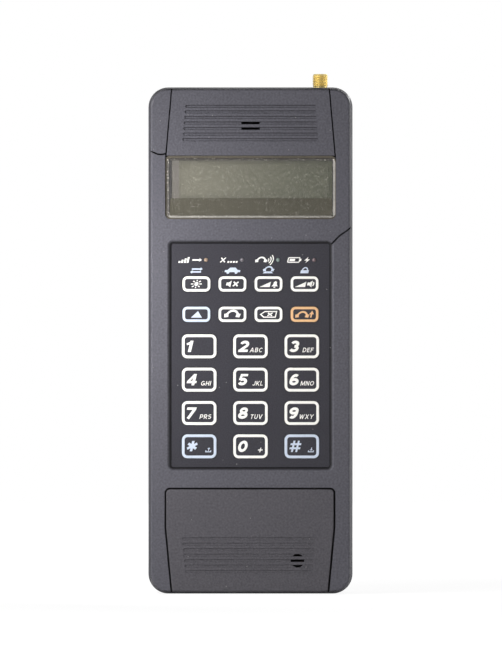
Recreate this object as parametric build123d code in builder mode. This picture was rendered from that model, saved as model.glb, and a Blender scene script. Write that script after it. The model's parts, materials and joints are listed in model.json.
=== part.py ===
from build123d import *
from math import atan, degrees
import os

# A hand-held cellular phone with a battery pack on its back. It stands on its lower end, its face
# towards -Y, with the origin under the middle of the whole. Sizes are in millimetres, and a depth
# is counted backwards from the face.

# Overall
WIDTH = 76.8
HEIGHT = 190.5
CORNER_RADIUS = 7.5
PHONE_DEPTH = 22.0
SPLIT_DEPTH = 11.0
FRONT_DRAFT = 5.5
RIM_RADIUS = 0.8
BACK_EDGE_RADIUS = 1.0
SEAM_CHAMFER = 0.3
SIDE_WALL = 2.0
INSERT_SIDE = 6.35
BACK_WALL = 2.5
FACE_DEPTH = 3.8
LIP_HEIGHT = 1.2
LIP_WALL = 0.9
LIP_GAP = 0.15
PANEL_GAP = 0.5
PANEL_EDGE = 0.3
COVER_EDGE = 0.5
OVERSHOOT = 6.0

# Running clearances and small gaps
KEY_GAP = 0.15
FLANGE_GAP = 0.1
SLIDE_GAP = 0.15
HOOK_GAP = 0.2
SCREW_GAP = 0.05

# Earpiece panel and mouthpiece cover
INSERT_DEPTH = 2.4
EAR_HEIGHT = 26.45
EAR_LEAN = 2.3
MOUTH_HEIGHT = 40.05
MOUTH_LEAN = 2.35
MOUTH_TAPER_HEIGHT = 25.0
MOUTH_CORNER = 2.0
MOUTH_SHIFT = -0.2
GROOVE_COUNT = 7
GROOVE_WIDTH = 1.15
EAR_GROOVE_DEPTH = 0.4
MOUTH_GROOVE_DEPTH = 0.25
EAR_GROOVE_PITCH = 2.08
EAR_GROOVE_TOP = 7.45
EAR_GROOVE_SIDES = (27.8, 25.8)
MOUTH_GROOVE_PITCH = 2.05
MOUTH_GROOVE_BOTTOM = 8.55
MOUTH_GROOVE_SIDES = (29.1, 26.6)
MOUTH_GROOVE_SHIFT = -0.6
SOUND_SLOT = (6.9, 0.85)
SOUND_SLOT_GROOVES = (3, 4)
MIC_SIDE = 20.8
MIC_SLOT_DIAMETER = 5.1
MIC_SLOT_GROOVES = (1, 2, 3)

# Display
LENS_HEIGHT = 23.3
LENS_DEPTH = 1.5
LENS_BEVEL = 0.8
LENS_CORNER = 1.9
LENS_GAP = 0.45
LENS_SHIFT = 0.2
WINDOW_SIDE = 2.45
WINDOW_TOP = 1.3
WINDOW_BOTTOM = 7.4
GLASS_MARGIN = 1.0
GLASS_THICKNESS = 1.4
FRAME_WALL = 1.2

# Keypad
KEYPAD_SIDE = 7.2
KEYPAD_TO_LENS = 7.65
KEYPAD_TO_MOUTH = 6.1
KEYPAD_CORNER = 2.4
KEYPAD_BEVEL = 1.4
KEYPAD_BEVEL_DEPTH = 1.0
KEYPAD_DEPTH = 2.0
PANEL_THICKNESS = 0.8
KEY_PROUD = 0.1
KEY_EDGE = 0.1
KEY_TRAVEL = 0.5
KEY_FLANGE = 0.6
KEY_FLANGE_THICKNESS = 0.6
WINDOW_CLEARANCE = 0.2
LAMP_ROW = 7.65
SMALL_ROW = 16.65
SMALL_ROW_PITCH = 11.4
SMALL_KEY_HEIGHT = 5.9
SMALL_KEY_CORNER = 1.6
SMALL_KEY_MARGIN = 5.6
SMALL_KEY_SPACING = 2.92
NUMBER_TOP = 35.47
NUMBER_ROW_SPACING = 3.35
NUMBER_KEY_MARGIN = 5.37
NUMBER_KEY_SPACING = 6.1
NUMBER_KEY_CORNER = 1.75
NUMBER_KEY_FOOT = 4.8
LAMP_DIAMETER = 1.5
LAMP_OFFSET = 3.6
MAT_THICKNESS = 0.5
MAT_SIDE = 1.0
DOME_RADIUS = 2.4
DOME_RISE = 0.4

# Boards and what they carry
BOARD_THICKNESS = 1.6
BOARD_SIDE_GAP = 1.5
BOARD_FOOT_GAP = 0.7
BOARD_TOP_GAP = 25.5
RADIO_DEPTH = 13.0
RADIO_THICKNESS = 1.2
RADIO_SIDE_GAP = 3.5
RADIO_FOOT = 22.0
RADIO_TOP_GAP = 32.0
SHIELD_SIDE_GAP = 4.5
SHIELD_FOOT = 45.0
SHIELD_TOP_GAP = 8.0
SHIELD_SHEET = 0.4
SHIELD_HEIGHT = 3.8
CHIP_HEIGHT = 1.3
CHIPS = [(-17.0, 62.0, 14.0, 20.0), (14.0, 60.0, 20.0, 20.0), (-10.0, 98.0, 18.0, 12.0),
         (18.0, 102.0, 10.0, 18.0)]
STAND_RADIUS = 1.2
STAND_SIDE_GAP = 3.0
LINK_SIZE = (30.0, 5.0)
LINK_HEIGHT = 38.0
SPEAKER_DIAMETER = 20.0
SPEAKER_RIM = 3.0
SPEAKER_MAGNET = (12.0, 2.0)
RINGER_DIAMETER = 12.0
RINGER_HEIGHT = 3.5
RINGER_X = -20.0
RINGER_TOP_GAP = 7.5
MIC_DIAMETER = 6.0
MIC_LENGTH = 2.2
BOOT_WALL = 1.5
BOOT_SEAT_WALL = 1.0

# Casing screws
SCREW_X_GAP = 7.4
SCREW_FOOT_GAP = 9.0
SCREW_TOP_GAP = 18.0
SCREW_RADIUS = 1.25
SCREW_HEAD_RADIUS = 2.4
SCREW_HEAD_HEIGHT = 1.6
SCREW_HEAD_SINK = 0.6
SCREW_SLOT = (0.8, 0.9)
SCREW_SLOT_SPAN = 3.0
SCREW_TIP_GAP = 0.5
SCREW_BITE = 5.0
POST_RADIUS = 3.0

# Antenna connector
STUD_SIDE = 12.1
STUD_DEPTH = 15.4
STUD_RADIUS = 2.95
STUD_NECK_RADIUS = 2.6
STUD_NECK_RISE = 0.3
STUD_RISE = 5.1
STUD_BORE = 1.5
STUD_HOLE_GAP = 0.15
STUD_CHAMFER = 0.45
STUD_FLANGE = (4.0, 1.5)
STUD_TAIL_RADIUS = 2.0
STUD_TAIL = 3.0
STUD_SEAT = 6.0
STUD_BORE_DEPTH = 8.0
CONTACT_RADIUS = 0.6
CONTACT_SINK = 0.3
BRACKET_SHEET = 1.0
BRACKET_WIDTH = 5.4
BRACKET_REACH = 1.0
BRACKET_LAP = 7.0

# Battery pack and its hooks
CELL_DIAMETER = 14.1
CELL_LENGTH = 49.5
CELL_COLUMNS = 4
CELL_ROWS = 3
CELL_GAP = 0.1
CELL_BUTTON = (2.6, 0.9)
PACK_WALL = 1.3
PACK_COVER = 1.4
PACK_TOP_GAP = 22.0
PACK_EDGE = 3.0
PACK_SLOPE = (13.0, 8.0)
PACK_TOP_CORNER = 4.0
HEAD_WALL = 1.5
PACK_TRAVEL = 12.0
HOOK_SIDE = 20.4
HOOK_HEIGHTS = (32.0, 84.0, 136.0)
HOOK_STEM = (4.0, 10.0)
HOOK_HEAD = (8.0, 1.5)
TERMINAL_HEIGHT = 26.0
TERMINAL_PITCH = 6.0
TERMINAL_COUNT = 3
TERMINAL_PAD = (3.4, 8.0, 0.4)
CONTACT_PIN_RADIUS = 0.9
CONTACT_PIN_EDGE = 0.4
GRIP_COUNT = 6
GRIP_PITCH = 3.0
GRIP_SIZE = (30.0, 1.2)
GRIP_DEPTH = 0.6
GRIP_TOP_GAP = 18.0

# Battery latch
LATCH_SIZE = (18.0, 8.0)
LATCH_RISE = 6.0
LATCH_PROUD = 2.2
LATCH_TRAVEL = 2.0
LATCH_GAP = 0.2
LATCH_FLANGE = 1.4
LATCH_FLANGE_THICKNESS = 1.1
SPRING_RADIUS = 2.5
SPRING_CLOSED = 3.0
SPRING_WALL = 0.5
BRIDGE_SHEET = 1.2
BRIDGE_SIDE_GAP = 0.6
LATCH_EDGE = 0.5
LATCH_GROOVE = (13.0, 0.9)
LATCH_GROOVE_PITCH = 1.9
LATCH_GROOVE_COUNT = 3

# Cracks in the front casing, as points measured in from its edge and up from the insert beside them
CRACK_WIDTH = 0.58
CRACK_DEPTH = 2.4
LEFT_CRACK = [(-1.0, 1.6), (0.2, 1.95), (1.05, 2.15), (3.45, 1.1), (4.65, 0.9), (6.7, 1.25)]
RIGHT_CRACK = [(-1.0, -1.2), (0.45, -2.65), (1.1, -3.4), (2.2, -4.3), (3.75, -5.35), (5.0, -6.25),
               (8.1, -9.4)]

# Places worked out from the sizes above
PACK_FRONT = PHONE_DEPTH + SLIDE_GAP
CELL_FRONT = PACK_FRONT + PACK_COVER + CELL_GAP
PACK_BACK = CELL_FRONT + CELL_DIAMETER + CELL_GAP + PACK_WALL
FRONT_Y = -PACK_BACK / 2
INSIDE_BACK = PHONE_DEPTH - BACK_WALL
INSERT_HALF = WIDTH / 2 - INSERT_SIDE
BEVEL_ANGLE = degrees(atan(KEYPAD_BEVEL / KEYPAD_BEVEL_DEPTH))
EAR_BOTTOM = HEIGHT - EAR_HEIGHT
LENS_BOTTOM = EAR_BOTTOM - LENS_HEIGHT
KEYPAD_TOP = LENS_BOTTOM - KEYPAD_TO_LENS
KEYPAD_BOTTOM = MOUTH_HEIGHT + KEYPAD_TO_MOUTH
KEYPAD_WIDTH = WIDTH - 2 * KEYPAD_SIDE
KEYPAD_HEIGHT = KEYPAD_TOP - KEYPAD_BOTTOM
PANEL_DEPTH = KEYPAD_DEPTH - PANEL_THICKNESS
KEY_DEPTH = PANEL_DEPTH - KEY_PROUD
KEY_BACK = FACE_DEPTH + FLANGE_GAP + KEY_FLANGE_THICKNESS
DOME_TOP = KEY_BACK + KEY_TRAVEL + FLANGE_GAP
BOARD_DEPTH = DOME_TOP + DOME_RISE + MAT_THICKNESS
SMALL_KEY_WIDTH = (KEYPAD_WIDTH - 2 * SMALL_KEY_MARGIN - 3 * SMALL_KEY_SPACING) / 4
SMALL_PITCH = SMALL_KEY_WIDTH + SMALL_KEY_SPACING
NUMBER_KEY_WIDTH = (KEYPAD_WIDTH - 2 * NUMBER_KEY_MARGIN - 2 * NUMBER_KEY_SPACING) / 3
NUMBER_PITCH = NUMBER_KEY_WIDTH + NUMBER_KEY_SPACING
NUMBER_KEY_HEIGHT = (KEYPAD_HEIGHT - NUMBER_TOP - NUMBER_KEY_FOOT - 3 * NUMBER_ROW_SPACING) / 4
NUMBER_ROW_PITCH = NUMBER_KEY_HEIGHT + NUMBER_ROW_SPACING
LAMP_HEIGHT = KEYPAD_TOP - LAMP_ROW
EAR_SLOT_MIDDLE = HEIGHT - EAR_GROOVE_TOP - EAR_GROOVE_PITCH * sum(SOUND_SLOT_GROOVES) / 2
MIC_X = WIDTH / 2 - MIC_SIDE
MIC_HEIGHT = MOUTH_GROOVE_BOTTOM + MOUTH_GROOVE_PITCH * MIC_SLOT_GROOVES[1]
BOARD_FOOT = MIC_HEIGHT + MIC_DIAMETER / 2 + BOOT_WALL + BOARD_FOOT_GAP
BOARD_TOP = HEIGHT - BOARD_TOP_GAP
BOARD_HALF = WIDTH / 2 - SIDE_WALL - BOARD_SIDE_GAP
RADIO_TOP = HEIGHT - RADIO_TOP_GAP
RADIO_HALF = WIDTH / 2 - SIDE_WALL - RADIO_SIDE_GAP
SCREW_X = WIDTH / 2 - SCREW_X_GAP
SCREW_HEIGHTS = (SCREW_FOOT_GAP, HEIGHT - SCREW_TOP_GAP)
SCREW_SEAT = PHONE_DEPTH - SCREW_HEAD_SINK - SCREW_HEAD_HEIGHT
SEAT_HEIGHT = HEIGHT - STUD_SEAT
STUD_X = WIDTH / 2 - STUD_SIDE
STUD_Y = FRONT_Y + STUD_DEPTH
STUD_TOP = HEIGHT + STUD_RISE
STUD_BORE_FLOOR = STUD_TOP - STUD_BORE_DEPTH
HOOK_X = WIDTH / 2 - HOOK_SIDE
HOOK_FACE = INSIDE_BACK - HOOK_GAP
PACK_HEIGHT = HEIGHT - PACK_TOP_GAP
CELLS_HALF = CELL_COLUMNS * (CELL_DIAMETER + CELL_GAP) / 2
PACK_INNER_CORNER = CORNER_RADIUS - PACK_WALL
CORNER_REACH = max(0, CELLS_HALF - (WIDTH / 2 - CORNER_RADIUS))
CORNER_RISE = PACK_INNER_CORNER - (PACK_INNER_CORNER ** 2 - CORNER_REACH ** 2) ** 0.5
CELL_FOOT = PACK_WALL + CELL_GAP + CORNER_RISE
CELL_TOP = CELL_FOOT + CELL_ROWS * (CELL_LENGTH + CELL_GAP)
LATCH_HEIGHT = PACK_HEIGHT + LATCH_RISE
LATCH_RUN = LATCH_HEIGHT - LATCH_SIZE[1] / 2 - PACK_TRAVEL - HOOK_GAP
FLANGE_DEPTH = INSIDE_BACK - LATCH_GAP - LATCH_FLANGE_THICKNESS
SPRING_LENGTH = SPRING_CLOSED + LATCH_TRAVEL
BRIDGE_DEPTH = FLANGE_DEPTH - SPRING_LENGTH
BRIDGE_HALF = LATCH_SIZE[0] / 2 + LATCH_FLANGE + BRIDGE_SIDE_GAP


def facing(depth):
    """Sketch plane parallel to the face, at a depth behind it: +X right, +Z up."""
    return Plane(origin=(0, FRONT_Y + depth, 0), x_dir=(1, 0, 0), z_dir=(0, -1, 0))


def level(height):
    """Sketch plane parallel to the ground: local x is +X, local y is +Y."""
    return Plane.XY.offset(height)


def casing_outline(inset):
    """Outer outline of the phone seen from the front, drawn in by an inset."""
    with BuildSketch() as outline:
        with Locations((0, HEIGHT / 2)):
            RectangleRounded(WIDTH - 2 * inset, HEIGHT - 2 * inset, CORNER_RADIUS - inset)
    return outline.sketch


def earpiece_outline(gap):
    """Earpiece recess less a gap all round: its sides lean in and run out over the upper end."""
    foot, head = INSERT_HALF, INSERT_HALF - EAR_LEAN
    top = HEIGHT + OVERSHOOT
    with BuildSketch() as outline:
        with BuildLine():
            Polyline((-foot, EAR_BOTTOM), (foot, EAR_BOTTOM), (head, HEIGHT), (head, top),
                     (-head, top), (-head, HEIGHT), close=True)
        make_face()
        if gap:
            offset(amount=-gap, kind=Kind.INTERSECTION)
    return outline.sketch


def mouth_outline(gap):
    """Mouthpiece recess less a gap all round: upright sides, then leaning in to the lower end."""
    half, foot = INSERT_HALF, INSERT_HALF - MOUTH_LEAN
    with BuildSketch() as outline:
        with BuildLine():
            Polyline((-foot, -OVERSHOOT), (foot, -OVERSHOOT), (foot, 0), (half, MOUTH_TAPER_HEIGHT),
                     (half, MOUTH_HEIGHT), (-half, MOUTH_HEIGHT), (-half, MOUTH_TAPER_HEIGHT),
                     (-foot, 0), close=True)
        make_face()
        fillet(outline.vertices().group_by(Axis.Y)[-1], radius=MOUTH_CORNER)
        if gap:
            offset(amount=-gap, kind=Kind.INTERSECTION)
    return Pos(MOUTH_SHIFT, 0) * outline.sketch


def lens_outline(gap):
    """Display recess less a gap all round, with its lower corners rounded."""
    with BuildSketch() as outline:
        with Locations((0, LENS_BOTTOM + LENS_HEIGHT / 2)):
            Rectangle(2 * (INSERT_HALF - gap), LENS_HEIGHT - 2 * gap)
        fillet(outline.vertices().group_by(Axis.Y)[0], radius=LENS_CORNER)
    return outline.sketch


def window_outline(margin):
    """Viewing window of the display, grown by a margin."""
    low = LENS_BOTTOM + WINDOW_BOTTOM - margin
    high = EAR_BOTTOM - WINDOW_TOP + margin
    with BuildSketch() as outline:
        with Locations((0, (low + high) / 2)):
            Rectangle(2 * (INSERT_HALF - WINDOW_SIDE + margin), high - low)
    return outline.sketch


def keypad_outline(gap):
    """Keypad recess less a gap all round."""
    with BuildSketch() as outline:
        with Locations((0, (KEYPAD_TOP + KEYPAD_BOTTOM) / 2)):
            RectangleRounded(KEYPAD_WIDTH - 2 * gap, KEYPAD_HEIGHT - 2 * gap, KEYPAD_CORNER - gap)
    return outline.sketch


def groove_rows(first, pitch, sides):
    """Height and length of each groove, what it leaves of the width changing evenly row by row."""
    step = (sides[1] - sides[0]) / (GROOVE_COUNT - 1)
    return [(first + pitch * i, WIDTH - sides[0] - step * i) for i in range(GROOVE_COUNT)]


EAR_GROOVES = groove_rows(HEIGHT - EAR_GROOVE_TOP, -EAR_GROOVE_PITCH, EAR_GROOVE_SIDES)
MOUTH_GROOVES = groove_rows(MOUTH_GROOVE_BOTTOM, MOUTH_GROOVE_PITCH, MOUTH_GROOVE_SIDES)


def sound_slots(growth):
    """The two slots over the earpiece speaker, in the middle grooves."""
    length, width = SOUND_SLOT
    with BuildSketch() as slots:
        with Locations(*[(0, EAR_GROOVES[i][0]) for i in SOUND_SLOT_GROOVES]):
            Rectangle(length + 2 * growth, width + 2 * growth)
    return slots.sketch


def microphone_slots(growth):
    """Round group of slots over the microphone: a circle cut into the strips of the grooves."""
    with BuildSketch() as slots:
        with Locations(*[(MIC_X, MOUTH_GROOVES[i][0]) for i in MIC_SLOT_GROOVES]):
            Rectangle(MIC_SLOT_DIAMETER, SOUND_SLOT[1] + 2 * growth)
        with Locations((MIC_X, MIC_HEIGHT)):
            Circle(MIC_SLOT_DIAMETER / 2 + growth, mode=Mode.INTERSECT)
    return slots.sketch


# Keys: name, centre, width, height and corner radius of each, row by row
SMALL_KEY_NAMES = [
    ("key_light", "key_mute", "key_ringer", "key_volume"),
    ("key_up", "key_end", "key_clear", "key_send"),
]
NUMBER_KEY_NAMES = [
    ("key_1", "key_2", "key_3"),
    ("key_4", "key_5", "key_6"),
    ("key_7", "key_8", "key_9"),
    ("key_star", "key_0", "key_hash"),
]


def small_key_x(column):
    return SMALL_PITCH * (column - 1.5)


def list_keys():
    """Every key as (name, x, z, width, height, corner radius)."""
    keys = []
    for row, names in enumerate(SMALL_KEY_NAMES):
        z = KEYPAD_TOP - SMALL_ROW - SMALL_ROW_PITCH * row
        for column, name in enumerate(names):
            keys.append((name, small_key_x(column), z, SMALL_KEY_WIDTH, SMALL_KEY_HEIGHT,
                         SMALL_KEY_CORNER))
    for row, names in enumerate(NUMBER_KEY_NAMES):
        z = KEYPAD_TOP - NUMBER_TOP - NUMBER_KEY_HEIGHT / 2 - NUMBER_ROW_PITCH * row
        for column, name in enumerate(names):
            keys.append((name, NUMBER_PITCH * (column - 1), z, NUMBER_KEY_WIDTH, NUMBER_KEY_HEIGHT,
                         NUMBER_KEY_CORNER))
    return keys


KEYS = list_keys()
LAMP_PLACES = [(small_key_x(column) + LAMP_OFFSET, LAMP_HEIGHT) for column in range(4)]


def key_openings(gap):
    """All key outlines grown by a gap, and the lamp holes grown by the same gap."""
    with BuildSketch() as openings:
        for _, x, z, width, height, corner in KEYS:
            with Locations((x, z)):
                RectangleRounded(width + 2 * gap, height + 2 * gap, corner + gap)
        with Locations(*LAMP_PLACES):
            Circle(LAMP_DIAMETER / 2 + min(gap, SCREW_GAP))
    return openings.sketch


def corner_places(heights, half_width):
    """Mirrored pairs of places at the given heights."""
    return [(side * half_width, z) for z in heights for side in (-1, 1)]


SCREW_PLACES = corner_places(SCREW_HEIGHTS, SCREW_X)
HOOK_PLACES = corner_places(HOOK_HEIGHTS, HOOK_X)
TERMINAL_PLACES = [(TERMINAL_PITCH * (i - (TERMINAL_COUNT - 1) / 2), TERMINAL_HEIGHT)
                   for i in range(TERMINAL_COUNT)]
FRONT_STANDS = corner_places((KEYPAD_BOTTOM + STAND_SIDE_GAP, KEYPAD_TOP - STAND_SIDE_GAP),
                             WIDTH / 2 - SIDE_WALL - STAND_SIDE_GAP)
BACK_STANDS = corner_places((RADIO_FOOT + 2 * STAND_SIDE_GAP, RADIO_TOP - 2 * STAND_SIDE_GAP),
                            RADIO_HALF - STAND_SIDE_GAP)


def save(name, part):
    """Label a finished piece and write it to its own file."""
    part.label = name
    export_step(part, f"parts/{name}.step")


os.makedirs("parts", exist_ok=True)

# Solid block of the front half, whose sloping sides and rim the shell and its two inserts share
with BuildPart() as front_block:
    with BuildSketch(facing(SPLIT_DEPTH)):
        add(casing_outline(0))
    extrude(amount=SPLIT_DEPTH, taper=FRONT_DRAFT)
    fillet(front_block.faces().sort_by(Axis.Y)[0].edges(), radius=RIM_RADIUS)
    chamfer(front_block.faces().sort_by(Axis.Y)[-1].edges(), length=SEAM_CHAMFER)

# Front casing
with BuildPart() as front_shell:
    add(front_block.part)
    with BuildSketch(facing(FACE_DEPTH)):
        add(casing_outline(SIDE_WALL))
    extrude(amount=FACE_DEPTH - SPLIT_DEPTH, mode=Mode.SUBTRACT)
    with BuildSketch(facing(FACE_DEPTH)):
        with Locations(*SCREW_PLACES):
            Circle(POST_RADIUS)
    extrude(amount=FACE_DEPTH - SPLIT_DEPTH)
    with BuildSketch(facing(FACE_DEPTH)):
        with Locations(*FRONT_STANDS):
            Circle(STAND_RADIUS)
    extrude(amount=FACE_DEPTH - BOARD_DEPTH)
    with BuildSketch(facing(FACE_DEPTH)):
        with Locations((MIC_X, MIC_HEIGHT)):
            Circle(MIC_DIAMETER / 2 + BOOT_WALL + SCREW_GAP + BOOT_SEAT_WALL)
            Circle(MIC_DIAMETER / 2 + BOOT_WALL + SCREW_GAP, mode=Mode.SUBTRACT)
    extrude(amount=-MIC_LENGTH)
    # Recesses for the inserts, the lens and the keypad
    with BuildSketch(facing(0)):
        add(earpiece_outline(0))
        add(mouth_outline(0))
    extrude(amount=-INSERT_DEPTH, mode=Mode.SUBTRACT)
    with BuildSketch(facing(0)):
        add(lens_outline(0))
    extrude(amount=-LENS_DEPTH, mode=Mode.SUBTRACT)
    with BuildSketch(facing(0)):
        add(keypad_outline(0))
    extrude(amount=-KEYPAD_BEVEL_DEPTH, taper=BEVEL_ANGLE, mode=Mode.SUBTRACT)
    with BuildSketch(facing(0)):
        add(keypad_outline(KEYPAD_BEVEL))
    extrude(amount=-KEYPAD_DEPTH, mode=Mode.SUBTRACT)
    # Openings through the face
    with BuildSketch(facing(0)):
        add(window_outline(0))
        add(sound_slots(WINDOW_CLEARANCE))
        add(microphone_slots(WINDOW_CLEARANCE))
        add(key_openings(WINDOW_CLEARANCE))
    extrude(amount=-FACE_DEPTH, mode=Mode.SUBTRACT)
    # Pilot holes for the screws
    with BuildSketch(facing(SPLIT_DEPTH)):
        with Locations(*SCREW_PLACES):
            Circle(SCREW_RADIUS + SCREW_GAP)
    extrude(amount=SCREW_BITE, mode=Mode.SUBTRACT)
    # Cracks that run in from both edges
    for side, foot, crack in ((-1, EAR_BOTTOM, LEFT_CRACK), (1, LENS_BOTTOM, RIGHT_CRACK)):
        with BuildSketch(facing(0)):
            with BuildLine():
                crack_line = Polyline(*[(side * (WIDTH / 2 - x), foot + z) for x, z in crack])
            trace(crack_line, line_width=CRACK_WIDTH)
        extrude(amount=-CRACK_DEPTH, mode=Mode.SUBTRACT)
save("front_shell", front_shell.part)

# Earpiece panel
with BuildPart() as earpiece_panel:
    with BuildSketch(facing(0)):
        add(earpiece_outline(PANEL_GAP))
    extrude(amount=-INSERT_DEPTH)
    add(front_block.part, mode=Mode.INTERSECT)
    front_edges = earpiece_panel.faces().sort_by(Axis.Y)[0].edges()
    fillet(front_edges.group_by(Axis.Z)[0], radius=PANEL_EDGE)
    with BuildSketch(facing(0)):
        for z, length in EAR_GROOVES:
            with Locations((0, z)):
                SlotOverall(length, GROOVE_WIDTH)
    extrude(amount=-EAR_GROOVE_DEPTH, mode=Mode.SUBTRACT)
    with BuildSketch(facing(0)):
        add(sound_slots(0))
    extrude(amount=-INSERT_DEPTH, mode=Mode.SUBTRACT)
save("earpiece_panel", earpiece_panel.part)

# Mouthpiece cover
with BuildPart() as lower_cover:
    with BuildSketch(facing(0)):
        add(mouth_outline(PANEL_GAP))
    extrude(amount=-INSERT_DEPTH)
    add(front_block.part, mode=Mode.INTERSECT)
    front_edges = lower_cover.faces().sort_by(Axis.Y)[0].edges()
    fillet(front_edges.group_by(Axis.Z)[1:], radius=COVER_EDGE)
    with BuildSketch(facing(0)):
        for z, length in MOUTH_GROOVES:
            with Locations((MOUTH_GROOVE_SHIFT, z)):
                SlotOverall(length, GROOVE_WIDTH)
    extrude(amount=-MOUTH_GROOVE_DEPTH, mode=Mode.SUBTRACT)
    with BuildSketch(facing(0)):
        add(microphone_slots(0))
    extrude(amount=-INSERT_DEPTH, mode=Mode.SUBTRACT)
save("lower_cover", lower_cover.part)

# Rear casing
with BuildPart() as rear_shell:
    with BuildSketch(facing(SPLIT_DEPTH)):
        add(casing_outline(0))
    extrude(amount=SPLIT_DEPTH - PHONE_DEPTH)
    fillet(rear_shell.faces().sort_by(Axis.Y)[-1].edges(), radius=BACK_EDGE_RADIUS)
    chamfer(rear_shell.faces().sort_by(Axis.Y)[0].edges(), length=SEAM_CHAMFER)
    with BuildSketch(facing(SPLIT_DEPTH)):
        add(casing_outline(SIDE_WALL))
    extrude(amount=SPLIT_DEPTH - INSIDE_BACK, mode=Mode.SUBTRACT)
    # Lip that centres the front casing, on a root inside the wall
    with BuildSketch(facing(SPLIT_DEPTH)):
        add(casing_outline(SIDE_WALL))
        add(casing_outline(SIDE_WALL + LIP_GAP + LIP_WALL), mode=Mode.SUBTRACT)
    extrude(amount=-LIP_HEIGHT)
    with BuildSketch(facing(SPLIT_DEPTH)):
        add(casing_outline(SIDE_WALL + LIP_GAP))
        add(casing_outline(SIDE_WALL + LIP_GAP + LIP_WALL), mode=Mode.SUBTRACT)
    extrude(amount=LIP_HEIGHT)
    # Screw posts, stands for the radio board and the bridge behind the latch spring
    with BuildSketch(facing(SPLIT_DEPTH)):
        with Locations(*SCREW_PLACES):
            Circle(POST_RADIUS)
    extrude(amount=SPLIT_DEPTH - INSIDE_BACK)
    with BuildSketch(facing(RADIO_DEPTH + RADIO_THICKNESS)):
        with Locations(*BACK_STANDS):
            Circle(STAND_RADIUS)
    extrude(amount=RADIO_DEPTH + RADIO_THICKNESS - INSIDE_BACK)
    with BuildSketch(facing(BRIDGE_DEPTH - BRIDGE_SHEET)):
        with Locations((0, LATCH_HEIGHT)):
            Rectangle(2 * (BRIDGE_HALF + BRIDGE_SHEET), LATCH_SIZE[1])
    extrude(amount=BRIDGE_DEPTH - BRIDGE_SHEET - INSIDE_BACK)
    with BuildSketch(facing(BRIDGE_DEPTH)):
        with Locations((0, LATCH_HEIGHT)):
            Rectangle(2 * BRIDGE_HALF, LATCH_SIZE[1])
    extrude(amount=BRIDGE_DEPTH - INSIDE_BACK, mode=Mode.SUBTRACT)
    # Openings in the back wall: latch, contact pins and hook windows, narrow below and wide above
    with BuildSketch(facing(INSIDE_BACK)):
        with Locations((0, LATCH_HEIGHT)):
            Rectangle(LATCH_SIZE[0] + 2 * LATCH_GAP, LATCH_SIZE[1] + 2 * LATCH_GAP)
        with Locations(*TERMINAL_PLACES):
            Circle(CONTACT_PIN_RADIUS + SCREW_GAP)
        for x, z in HOOK_PLACES:
            with Locations((x, z - HOOK_STEM[1] / 2 - HOOK_GAP)):
                Rectangle(HOOK_STEM[0] + 2 * HOOK_GAP, HOOK_STEM[1] + 2 * HOOK_GAP,
                          align=(Align.CENTER, Align.MIN))
            with Locations((x, z + HOOK_STEM[1] / 2 + HOOK_GAP)):
                Rectangle(HOOK_HEAD[0] + 2 * HOOK_GAP, PACK_TRAVEL + HOOK_GAP,
                          align=(Align.CENTER, Align.MIN))
    extrude(amount=-BACK_WALL, mode=Mode.SUBTRACT)
    # Screw holes with counterbores, and the hole for the antenna connector
    with BuildSketch(facing(SPLIT_DEPTH)):
        with Locations(*SCREW_PLACES):
            Circle(SCREW_RADIUS + SCREW_GAP)
    extrude(amount=SPLIT_DEPTH - PHONE_DEPTH, mode=Mode.SUBTRACT)
    with BuildSketch(facing(SCREW_SEAT)):
        with Locations(*SCREW_PLACES):
            Circle(SCREW_HEAD_RADIUS + HOOK_GAP)
    extrude(amount=SCREW_SEAT - PHONE_DEPTH, mode=Mode.SUBTRACT)
    with BuildSketch(level(HEIGHT)):
        with Locations((STUD_X, STUD_Y)):
            Circle(STUD_RADIUS + STUD_HOLE_GAP)
    extrude(amount=-SIDE_WALL - LIP_HEIGHT, mode=Mode.SUBTRACT)
save("rear_shell", rear_shell.part)

# Four casing screws with cross slots
with BuildPart() as case_screws:
    with BuildSketch(facing(SCREW_SEAT)):
        with Locations(*SCREW_PLACES):
            Circle(SCREW_HEAD_RADIUS)
    extrude(amount=-SCREW_HEAD_HEIGHT)
    fillet(case_screws.faces().group_by(Axis.Y)[-1].edges(), radius=SCREW_HEAD_SINK)
    with BuildSketch(facing(SCREW_SEAT)):
        with Locations(*SCREW_PLACES):
            Circle(SCREW_RADIUS)
    extrude(amount=SCREW_SEAT - SPLIT_DEPTH + SCREW_BITE - SCREW_TIP_GAP)
    with BuildSketch(facing(SCREW_SEAT + SCREW_HEAD_HEIGHT)):
        with Locations(*SCREW_PLACES):
            Rectangle(SCREW_SLOT[0], SCREW_SLOT_SPAN)
            Rectangle(SCREW_SLOT_SPAN, SCREW_SLOT[0])
    extrude(amount=SCREW_SLOT[1], mode=Mode.SUBTRACT)
save("case_screws", case_screws.part)

# Display: lens, glass, light guide and the frame that holds them
with BuildPart() as display_lens:
    with BuildSketch(facing(0)):
        add(Pos(LENS_SHIFT, 0) * lens_outline(LENS_GAP))
    extrude(amount=-LENS_DEPTH)
    chamfer(display_lens.faces().sort_by(Axis.Y)[0].edges(), length=LENS_BEVEL)
save("display_lens", display_lens.part)

with BuildPart() as display_glass:
    with BuildSketch(facing(FACE_DEPTH)):
        add(window_outline(GLASS_MARGIN))
    extrude(amount=-GLASS_THICKNESS)
save("display_glass", display_glass.part)

with BuildPart() as display_light:
    with BuildSketch(facing(FACE_DEPTH + GLASS_THICKNESS)):
        add(window_outline(GLASS_MARGIN))
    extrude(amount=FACE_DEPTH + GLASS_THICKNESS - BOARD_DEPTH)
save("display_light", display_light.part)

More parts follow.
